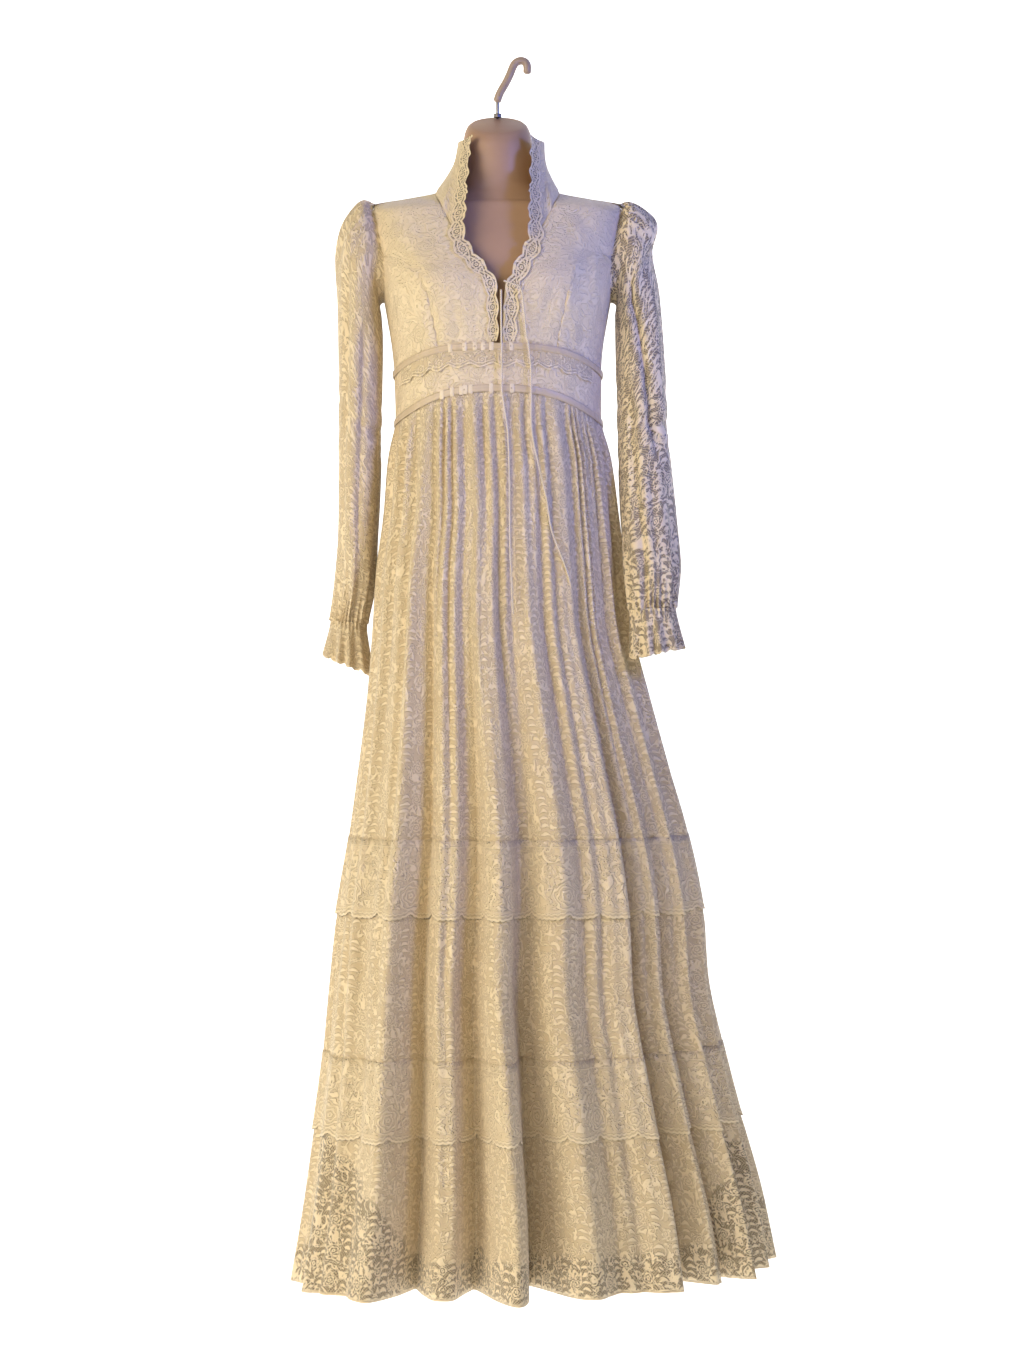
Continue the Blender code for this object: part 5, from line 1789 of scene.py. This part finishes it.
TROUGHS_LEFT = (
    Trough(-0.50, 0.05, 0.30, -1.6, 0.009, 0.0060),
    Trough(0.30, 0.10, 0.40, -1.0, 0.009, 0.0050),
    Trough(-1.00, 0.26, 0.54, 0.8, 0.009, 0.0052),
    Trough(0.10, 0.34, 0.55, 0.6, 0.008, 0.0044),
    Trough(-0.55, 0.40, 0.56, -0.5, 0.008, 0.0040),
    Trough(3.00, 0.08, 0.38, 1.2, 0.010, 0.0060),
    Trough(3.70, 0.28, 0.54, -0.9, 0.009, 0.0050),
)
TROUGHS_RIGHT = (
    Trough(-0.35, 0.03, 0.30, 3.2, 0.007, 0.0100),
    Trough(0.55, 0.06, 0.34, 1.4, 0.010, -0.0040),
    Trough(-0.60, 0.20, 0.52, 1.0, 0.008, 0.0050),
    Trough(0.20, 0.30, 0.54, -0.8, 0.008, 0.0046),
    Trough(0.90, 0.34, 0.55, 0.5, 0.009, 0.0044),
    Trough(2.60, 0.08, 0.36, -1.2, 0.010, 0.0060),
    Trough(3.30, 0.28, 0.54, 0.9, 0.009, 0.0050),
)


class ElbowFold(NamedTuple):
    """A fold across a sleeve near its elbow: how far down, how it tilts, and its depth."""

    down: float
    tilt: float
    depth: float


ELBOW_FOLDS = (
    ElbowFold(0.205, 0.010, 0.0018),
    ElbowFold(0.235, 0.020, 0.0030),
    ElbowFold(0.262, -0.016, 0.0026),
    ElbowFold(0.290, 0.012, 0.0022),
)


@dataclass
class Sleeve:
    """A long sheer sleeve with its gathered cap and the ruffle below its elastic.

    Args:
        side: Which hand it is.
        rings: Its rings, from the cap down.
        cuff: The ruffle's foot.
        troughs: Its long folds.
    """

    side: Side
    rings: tuple[SleeveRing, ...]
    cuff: SleeveRing
    troughs: tuple[Trough, ...]
    columns: int = 200
    rows: int = 190
    stand: float = 0.0010
    spread: float = 1.02
    armhole_clear: float = 0.0002
    tuck: float = 0.003
    tuck_turn: float = 18.0
    tuck_stand: float = -0.0004
    cap_pleats: int = 34
    wrist_pleats: int = 30
    ruffle_waves: int = 11
    ruffle_wave: float = 0.0052
    ruffle_fullness: float = 1.25
    mean_radius: float = 0.045

    def angles(self) -> np.ndarray:
        """Angles round the sleeve from its inner seam: 0 is the front, and a right angle the side towards +X."""
        start = -90.0 if self.side is Side.RIGHT else 90.0
        return np.radians(spaced(start, start + 360.0, self.columns))

    def oval(self, ring: SleeveRing) -> tuple[np.ndarray, np.ndarray, np.ndarray]:
        """Centre of a ring, its half towards +X and its half towards the front."""
        sign = self.side.value
        outer = np.array((BODY_X + sign * ring.outer, 0, ring.outer_height))
        inner = np.array((BODY_X + sign * ring.inner, 0, ring.inner_height))
        centre = (outer + inner) / 2 + (0, BODY_Y + ring.back, 0)
        return centre, (outer - inner) / 2 * sign, np.array((0, -ring.depth, 0))

    def armhole(self, bodice: Bodice, under: float, stand: float) -> np.ndarray:
        """Points of the seam with the bodice, or of its allowance.

        Args:
            bodice: The bodice.
            under: How far the points lie under the bodice's edge.
            stand: How far they lie outside the form.

        Returns:
            A ring of points.
        """
        a = self.angles()
        sign = self.side.value
        half = bodice.armhole_half + self.armhole_clear + under
        spread = self.spread + under * self.tuck_turn
        bearing = 90.0 - spread * bodice.armhole_bearing * np.cos(a)
        return GARMENT.point(sign * bearing, bodice.armhole_height + half * sign * np.sin(a), stand)

    def grid(self, bodice: Bodice) -> np.ndarray:
        """Grid of the sleeve from the elastic up, with its gathers and creases."""
        a = self.angles()[:, None]
        rows = [self.armhole(bodice, self.tuck, self.tuck_stand), self.armhole(bodice, 0.0, self.stand)]
        for ring in self.rings:
            centre, aside, ahead = self.oval(ring)
            rows.append(centre + aside * np.sin(a) + ahead * np.cos(a))
        table = np.stack(rows[::-1])
        steps = np.linalg.norm(np.diff(table, axis=0), axis=-1).mean(axis=1)
        knots = np.concatenate(([0], np.cumsum(steps)))
        up = spaced(0, knots[-1], self.rows)
        points = smooth_between(knots, table, up)
        out = grid_normals(points)
        seam = unit(out[:, 0] + out[:, -1])
        out[:, 0] = seam
        out[:, -1] = seam
        return points + out * self.folds(up[:, None], knots[-1])[..., None]

    def folds(self, up: np.ndarray, length: float) -> np.ndarray:
        """How far the cloth stands out from the plain tube, at each row and column."""
        a = self.angles()[None, :]
        down = length - up
        phase = a * self.wrist_pleats + 0.9 * np.sin(a * 5 + 1)
        total = 0.0030 * np.sin(phase) * np.exp(-up / 0.030)
        total = total + 0.0030 * np.sin(a * 9 + 1.3) * np.exp(-((up - 0.05) ** 2) / 0.002)
        over_cap = np.clip(np.sin(a) * self.side.value, 0, 1) ** 0.7
        fine = 0.0024 * np.sin(a * self.cap_pleats + 1.1 * np.sin(a * 7)) * np.exp(-down / 0.030)
        puff = 0.0035 * np.sin(a * 8 + 0.7) * np.exp(-((down - 0.055) ** 2) / 0.0016)
        total += (fine + puff) * over_cap
        for t in self.troughs:
            aside = 2 * np.sin((a - t.angle - t.slant * (down - t.start)) / 2) * self.mean_radius
            fade = np.clip((down - t.start) / 0.05, 0, 1) * np.clip((t.end - down) / 0.06, 0, 1)
            total -= t.depth * np.sin(fade * math.pi / 2) * np.exp(-((aside / t.width) ** 2))
        for e in ELBOW_FOLDS:
            away = (down - e.down - e.tilt * np.sin(a + e.down * 30)) / 0.009
            total -= e.depth * np.exp(-(away**2)) * (0.4 + 0.6 * np.clip(np.cos(a - 0.4), 0, 1))
        return total * np.clip((down - self.tuck) / 0.004, 0, 1)

    def ruffle(self) -> np.ndarray:
        """Grid of the ruffle from its foot up to the elastic."""
        top = self.oval(self.rings[-1])
        foot = self.oval(self.cuff)
        a = self.angles()[:, None]
        phase = a * self.ruffle_waves + 0.5 * np.sin(3 * a) + 0.4 * np.sin(5 * a + 1)
        rows = []
        for share in spaced(1, 0, 26):
            centre, aside, ahead = (blend(t, f, share) for t, f in zip(top, foot))
            radial = aside * np.sin(a) + ahead * np.cos(a)
            wave = self.ruffle_wave * share * np.sin(phase)
            fine = 0.0018 * math.exp(-share / 0.16) * np.sin(a * self.wrist_pleats)
            rows.append(centre + radial * (1 + (wave + fine) / np.linalg.norm(radial, axis=-1, keepdims=True)))
        return np.stack(rows)

    def build(self, bodice: Bodice, lace: bpy.types.Material, scalloped: bpy.types.Material) -> None:
        """Makes and dresses the sleeve and its ruffle.

        Args:
            bodice: The bodice, for the armhole.
            lace: The sheer lace.
            scalloped: The same lace with a scalloped foot.
        """
        hand = self.side.hand
        points = self.grid(bodice)
        chart, flat = average_cloth(points)
        piece = cloth(f"sleeve_{hand}_cloth", points, chart, 0.0, closed=True)
        dress(piece, lace, [f"sleeve_{hand}_front", f"sleeve_{hand}_back"])
        ruffle = self.ruffle()
        chart, flat = average_cloth(ruffle)
        piece = cloth(f"cuff_{hand}_cloth", ruffle, chart * (self.ruffle_fullness, 1.0), 0.0, closed=True)
        dress(piece, scalloped, [f"cuff_{hand}"])
        flat = (flat[0] * self.ruffle_fullness, flat[1])


class CordPoint(NamedTuple):
    """A point of a lacing end: from the centre line, height, and how far it stands off the body's ring."""

    across: float
    height: float
    stand: float


LACING_RIGHT = (
    CordPoint(0.0085, -0.3066, 0.0082),
    CordPoint(0.0190, -0.3100, 0.0082),
    CordPoint(0.0300, -0.3160, 0.0086),
    CordPoint(0.0344, -0.3429, 0.0072),
    CordPoint(0.0370, -0.3679, 0.0056),
    CordPoint(0.0405, -0.3890, 0.0085),
    CordPoint(0.0435, -0.4180, 0.0085),
    CordPoint(0.0438, -0.4450, 0.0085),
    CordPoint(0.0447, -0.4968, 0.0098),
    CordPoint(0.0545, -0.5451, 0.0100),
    CordPoint(0.0626, -0.5794, 0.0100),
    CordPoint(0.0702, -0.6244, 0.0100),
    CordPoint(0.0829, -0.6576, 0.0100),
    CordPoint(0.0906, -0.6793, 0.0100),
    CordPoint(0.0951, -0.6959, 0.0100),
)
LACING_LEFT = (
    CordPoint(0.0050, -0.3180, 0.0095),
    CordPoint(0.0052, -0.3500, 0.0085),
    CordPoint(0.0056, -0.3801, 0.0085),
    CordPoint(0.0060, -0.4180, 0.0085),
    CordPoint(0.0063, -0.4450, 0.0085),
    CordPoint(0.0135, -0.4955, 0.0100),
    CordPoint(0.0159, -0.5602, 0.0100),
    CordPoint(0.0165, -0.6372, 0.0100),
    CordPoint(0.0185, -0.6900, 0.0100),
    CordPoint(0.0204, -0.7318, 0.0100),
)


def tube(name: str, line: np.ndarray, radii: np.ndarray) -> bpy.types.Object:
    """Adds a round curve along a line, with filled ends."""
    curve = bpy.data.curves.new(name, "CURVE")
    curve.dimensions = "3D"
    curve.bevel_depth = 1.0
    curve.bevel_resolution = 6
    curve.use_fill_caps = True
    spline = curve.splines.new("POLY")
    spline.points.add(len(line) - 1)
    spline.points.foreach_set("co", np.column_stack((line, np.ones(len(line)))).ravel())
    spline.points.foreach_set("radius", radii)
    piece = bpy.data.objects.new(name, curve)
    bpy.context.scene.collection.objects.link(piece)
    return piece


@dataclass
class Lacing:
    """The two free ends of the thin cord at the top of the slit."""

    diameter: float = 0.0025
    points: int = 60

    def route(self, table: Sequence[CordPoint]) -> np.ndarray:
        """Smooth centre line through an end's points."""
        points = []
        for p in table:
            left, right, _, _, _, square = GARMENT.section(np.array([p.height]))[0]
            aside = (p.across - (right - left) / 2) / ((left + right) / 2)
            bearing = math.degrees(math.asin(math.copysign(abs(aside) ** (1 / square), aside)))
            points.append(GARMENT.ring(bearing, p.height) - (0, p.stand, 0))
        line = np.array(points)
        knots = np.concatenate(([0], np.cumsum(np.linalg.norm(np.diff(line, axis=0), axis=1))))
        return smooth_between(knots, line, spaced(0, knots[-1], self.points))

    def build(self, material: bpy.types.Material) -> None:
        """Makes and dresses both ends.

        Args:
            material: The cord's finish.
        """
        for side, table in ((Side.LEFT, LACING_LEFT), (Side.RIGHT, LACING_RIGHT)):
            line = self.route(table)
            piece = tube(f"lacing_{side.hand}_cord", line, np.full(len(line), self.diameter / 2))
            dress(piece, material, [f"lacing_{side.hand}"])
            length = float(np.linalg.norm(np.diff(line, axis=0), axis=1).sum())
            tuple(float(v) for v in line[0])
            LOG.info("lacing %s: %.3f m", side.hand, length)


class FormRing(NamedTuple):
    """A ring of the hanging form; tilt raises its back."""

    height: float
    half: float
    front: float
    back: float
    tilt: float
    square: float


FORM_RINGS = (
    FormRing(-0.0840, 0.0350, 0.0360, 0.0340, 0.47, 1.00),
    FormRing(-0.0885, 0.0400, 0.0405, 0.0385, 0.45, 1.00),
    FormRing(-0.1000, 0.0440, 0.0440, 0.0410, 0.38, 1.00),
    FormRing(-0.1250, 0.0465, 0.0450, 0.0420, 0.24, 1.00),
    FormRing(-0.1500, 0.0470, 0.0450, 0.0420, 0.10, 1.00),
    FormRing(-0.1690, 0.0530, 0.0440, 0.0440, 0.00, 1.05),
    FormRing(-0.1786, 0.0720, 0.0470, 0.0490, 0.00, 1.25),
    FormRing(-0.1890, 0.1080, 0.0540, 0.0570, 0.00, 1.25),
    FormRing(-0.1968, 0.1500, 0.0620, 0.0690, 0.00, 1.00),
    FormRing(-0.2180, 0.1560, 0.0720, 0.0810, 0.00, 0.90),
    FormRing(-0.2420, 0.1535, 0.0850, 0.0900, 0.00, 0.86),
    FormRing(-0.2700, 0.1485, 0.0980, 0.0940, 0.00, 0.86),
    FormRing(-0.3000, 0.1440, 0.1070, 0.0950, 0.00, 0.87),
    FormRing(-0.3400, 0.1385, 0.1050, 0.0905, 0.00, 0.88),
    FormRing(-0.4000, 0.1290, 0.0880, 0.0830, 0.00, 0.91),
    FormRing(-0.5000, 0.1225, 0.0810, 0.0820, 0.00, 0.95),
    FormRing(-0.6000, 0.1240, 0.0870, 0.0860, 0.00, 0.96),
    FormRing(-0.6700, 0.1260, 0.0860, 0.0880, 0.00, 0.96),
    FormRing(-0.6940, 0.1180, 0.0760, 0.0830, 0.00, 0.96),
    FormRing(-0.7040, 0.0960, 0.0560, 0.0620, 0.00, 0.96),
)


@dataclass
class HangingForm:
    """The limbless form, its rod and nut, and the sleeved hook."""

    columns: int = 128
    rows: int = 150
    tube_radius: float = 0.00525
    tube_rounding: float = 0.0028
    rod_radius: float = 0.00225
    nut_radius: float = 0.0056
    nut_span: tuple[float, float] = (-0.0700, -0.0652)
    rod_span: tuple[float, float] = (-0.0700, -0.0470)
    bend: tuple[tuple[float, float], ...] = (
        (-0.0347, -0.0495),
        (-0.0310, -0.0385),
        (-0.0225, -0.0235),
        (-0.0170, -0.0120),
        (-0.0125, -0.0010),
        (-0.0085, 0.0036),
        (-0.0026, 0.0056),
        (0.0030, 0.0036),
        (0.0056, -0.0015),
        (0.0056, -0.0120),
    )

    def skin(self) -> np.ndarray:
        """Grid of the form's skin from its foot up."""
        table = np.array(FORM_RINGS)[::-1]
        knots = np.arange(len(table), dtype=float)
        rows = smooth_between(knots, table, spaced(0, knots[-1], self.rows))
        a = np.radians(spaced(-180, 180, self.columns))[None, :]
        height, half, front, back, tilt, square = (rows[:, i : i + 1] for i in range(6))
        ahead = signed_power(np.cos(a), square)
        y = -ahead * np.where(ahead > 0, front, back)
        x = half * signed_power(np.sin(a), square)
        return np.stack((BODY_X + x, BODY_Y + y, height + tilt * y), -1)

    def build(self, skin: bpy.types.Material, sleeve: bpy.types.Material, steel: bpy.types.Material, nut: bpy.types.Material) -> None:
        """Makes and dresses the form and what it hangs by.

        Args:
            skin: The form's plastic.
            sleeve: The hook sleeve's plastic.
            steel: The rod's steel.
            nut: The nut's darker steel.
        """
        points = self.skin()
        chart, _ = average_cloth(points)
        piece = cloth("form_skin", points, chart, 0.0, closed=True)
        bpy.ops.object.mode_set(mode="EDIT")
        bpy.ops.mesh.select_mode(type="EDGE")
        bpy.ops.mesh.select_all(action="DESELECT")
        bpy.ops.mesh.select_non_manifold(extend=False)
        bpy.ops.mesh.fill_holes(sides=0)
        bpy.ops.object.mode_set(mode="OBJECT")
        bpy.ops.object.shade_smooth_by_angle(angle=math.radians(40))
        dress(piece, skin, ["form_torso"])
        self.hook(sleeve)
        self.turned("hook_rod", self.rod_radius, self.rod_span, 40, steel)
        self.turned("hook_nut", self.nut_radius, self.nut_span, 6, nut)

    def hook(self, material: bpy.types.Material) -> None:
        """Makes the sleeved bend with its rounded ends."""
        route = np.array([(x, 0, z) for x, z in self.bend])
        knots = np.concatenate(([0], np.cumsum(np.linalg.norm(np.diff(route, axis=0), axis=1))))
        at = spaced(0, knots[-1], 90)
        line = smooth_between(knots, route, at)
        from_end = np.clip(np.minimum(at, knots[-1] - at) / self.tube_rounding, 0, 1)
        radii = self.tube_radius * np.sqrt(np.clip(1 - (1 - from_end) ** 2, 0.25, 1))
        piece = tube("hook_sleeve", line, radii)
        select_only(piece)
        bpy.ops.object.convert(target="MESH")
        bpy.ops.object.shade_smooth_by_angle(angle=math.radians(50))
        dress(bpy.context.object, material, ["hanging_hook"])

    def turned(self, name: str, radius: float, span: tuple[float, float], sides: int, material: bpy.types.Material) -> None:
        """Makes an upright round or six-sided piece on the form's centre line.

        Args:
            name: The piece's name.
            radius: Its radius.
            span: Its lowest and highest height.
            sides: How many sides it has.
            material: Its finish.
        """
        bpy.ops.object.select_all(action="DESELECT")
        middle = (BODY_X, 0.0, (span[0] + span[1]) / 2)
        bpy.ops.mesh.primitive_cylinder_add(vertices=sides, radius=radius, depth=span[1] - span[0], location=middle)
        piece = bpy.context.object
        piece.name = name
        bpy.ops.object.transform_apply(location=True, rotation=True, scale=True)
        edge = piece.modifiers.new("Edge", "BEVEL")
        edge.width = 0.0004
        edge.segments = 3
        edge.limit_method = "ANGLE"
        apply_modifiers(piece)
        bpy.ops.object.shade_smooth_by_angle(angle=math.radians(35))
        dress(piece, material)


class Lamp(NamedTuple):
    """A soft light: where it stands, what it is aimed at, its side, its beam in degrees, its power and its colour."""

    name: str
    place: Place
    aim: Place
    size: float
    beam: float
    power: float
    colour: Colour


@dataclass
class Studio:
    """Camera, floor and lights."""

    camera_place: Place = (-0.0145, -4.025, -0.819)
    lens: float = 80.04
    sensor: float = 36.0
    floor: float = -1.95
    sweep_front: float = 0.8
    sweep_back: float = 1.6
    sweep_top: float = 5.0
    sweep_half: float = 7.0
    bend: float = 1.8
    glow: float = 1.0
    world_light: float = 0.16
    world_colour: Colour = (1.0, 0.95, 0.88)
    lamps: tuple[Lamp, ...] = (
        Lamp("key", (-2.6, -2.6, 0.15), (-0.05, 0.0, -0.75), 2.4, 180.0, 104.0, (1.0, 0.89, 0.68)),
        Lamp("skirt fill", (-0.4, -3.7, -1.3), (0.04, 0.0, -1.15), 1.4, 50.0, 2.6, (1.0, 0.88, 0.68)),
        Lamp("violet fill", (1.4, -1.35, 0.05), (0.10, -0.04, -0.38), 0.5, 66.0, 3.8, (0.16, 0.25, 1.0)),
    )

    def camera(self) -> None:
        """Places the camera level, looking along +Y."""
        bpy.ops.object.camera_add(location=self.camera_place, rotation=(math.pi / 2, 0, 0))
        camera = bpy.context.object
        camera.data.lens = self.lens
        camera.data.sensor_width = self.sensor
        bpy.context.scene.camera = camera

    def build(self) -> None:
        """Makes the sweep, the lights and the world."""
        turn = np.radians(spaced(0, 90, 24))
        flat = [(-self.sweep_front, self.floor)]
        bend = [
            (self.sweep_back + self.bend * math.sin(t), self.floor + self.bend * (1 - math.cos(t)))
            for t in turn
        ]
        profile = np.array(flat + bend + [(self.sweep_back + self.bend, self.sweep_top)])
        sides = spaced(self.sweep_half, -self.sweep_half, 4)
        points = np.array([[(x, y, z) for y, z in profile] for x in sides])
        chart, _ = average_cloth(points)
        floor = cloth("studio_sweep", points, chart, 0.0)
        shader = Shader("pale studio floor", (0.9, 0.9, 0.9))
        cloud = shader.noise(shader.spot(), 0.6, 1.0)
        colour = shader.mix(cloud, (0.95, 0.95, 0.95), (0.93, 0.93, 0.93))
        glow = {"Emission_Color": colour, "Emission_Strength": self.glow}
        behind = shader.out("ShaderNodeNewGeometry", {}, {}, "Backfacing")
        floor.data.materials.append(shader.finish(Base_Color=colour, Roughness=0.9, Alpha=1.0 - behind, **glow))
        for lamp in self.lamps:
            bpy.ops.object.light_add(type="AREA", location=lamp.place)
            light = bpy.context.object
            light.name = lamp.name
            light.data.shape = "SQUARE"
            light.data.size = lamp.size
            light.data.spread = math.radians(lamp.beam)
            light.data.energy = lamp.power
            light.data.color = lamp.colour
            way = Vector(lamp.aim) - Vector(lamp.place)
            light.rotation_euler = way.to_track_quat("-Z", "Y").to_euler()
        self.world()
        bpy.context.scene.view_settings.view_transform = "Standard"

    def world(self) -> None:
        """Makes a world that gives little light and looks white past the sweep's edges."""
        world = bpy.data.worlds.new("studio")
        world.use_nodes = True
        tree = world.node_tree
        light = tree.nodes["Background"]
        light.inputs[0].default_value = (*self.world_colour, 1.0)
        light.inputs[1].default_value = self.world_light
        seen = tree.nodes.new("ShaderNodeBackground")
        seen.inputs[0].default_value = (1.0, 1.0, 1.0, 1.0)
        path = tree.nodes.new("ShaderNodeLightPath")
        either = tree.nodes.new("ShaderNodeMixShader")
        tree.links.new(path.outputs["Is Camera Ray"], either.inputs[0])
        tree.links.new(light.outputs[0], either.inputs[1])
        tree.links.new(seen.outputs[0], either.inputs[2])
        tree.links.new(either.outputs[0], tree.nodes["World Output"].inputs[0])
        bpy.context.scene.world = world


def main() -> None:
    """Builds the dress in order."""
    logging.basicConfig(level=logging.INFO, format="%(message)s")
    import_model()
    studio = Studio()
    studio.camera()
    Lacing().build(Cord().material())
    studio.build()
    thread = Binding().material()
    bodice_lace = BodiceLace().material()
    bodice = Bodice()
    bodice.build(bodice_lace)
    bars = Satin((0.84, 0.72, 0.53)).material("bright beading bars")
    Trims().build(bodice, bodice_lace, Satin().material(), bars)
    # Each sleeve's holes get their own painted colour: painted light on the lit left sleeve, painted shade on the
    # shaded right one.
    for side, rings, cuff, troughs, painted_hole_shade in (
        (Side.LEFT, SLEEVE_LEFT, CUFF_LEFT, TROUGHS_LEFT, (0.70, 0.57, 0.39)),
        (Side.RIGHT, SLEEVE_RIGHT, CUFF_RIGHT, TROUGHS_RIGHT, (0.16, 0.135, 0.115)),
    ):
        lace = SleeveLace(painted_hole_shade=painted_hole_shade)
        sheer = lace.material(f"{side.hand} sheer sleeve lace")
        Sleeve(side, rings, cuff, troughs).build(bodice, sheer, lace.material(f"{side.hand} scalloped cuff lace", 0.004))
    Skirt().build(SkirtLace(), GalloonLace(), Lining().material(), thread)
    steel = Steel().material("steel rod")
    nut = Steel((0.16, 0.15, 0.15), 0.42).material("dark steel nut")
    HangingForm().build(SkinPlastic().material(), HookPlastic().material(), steel, nut)


if __name__ == "__main__":
    main()
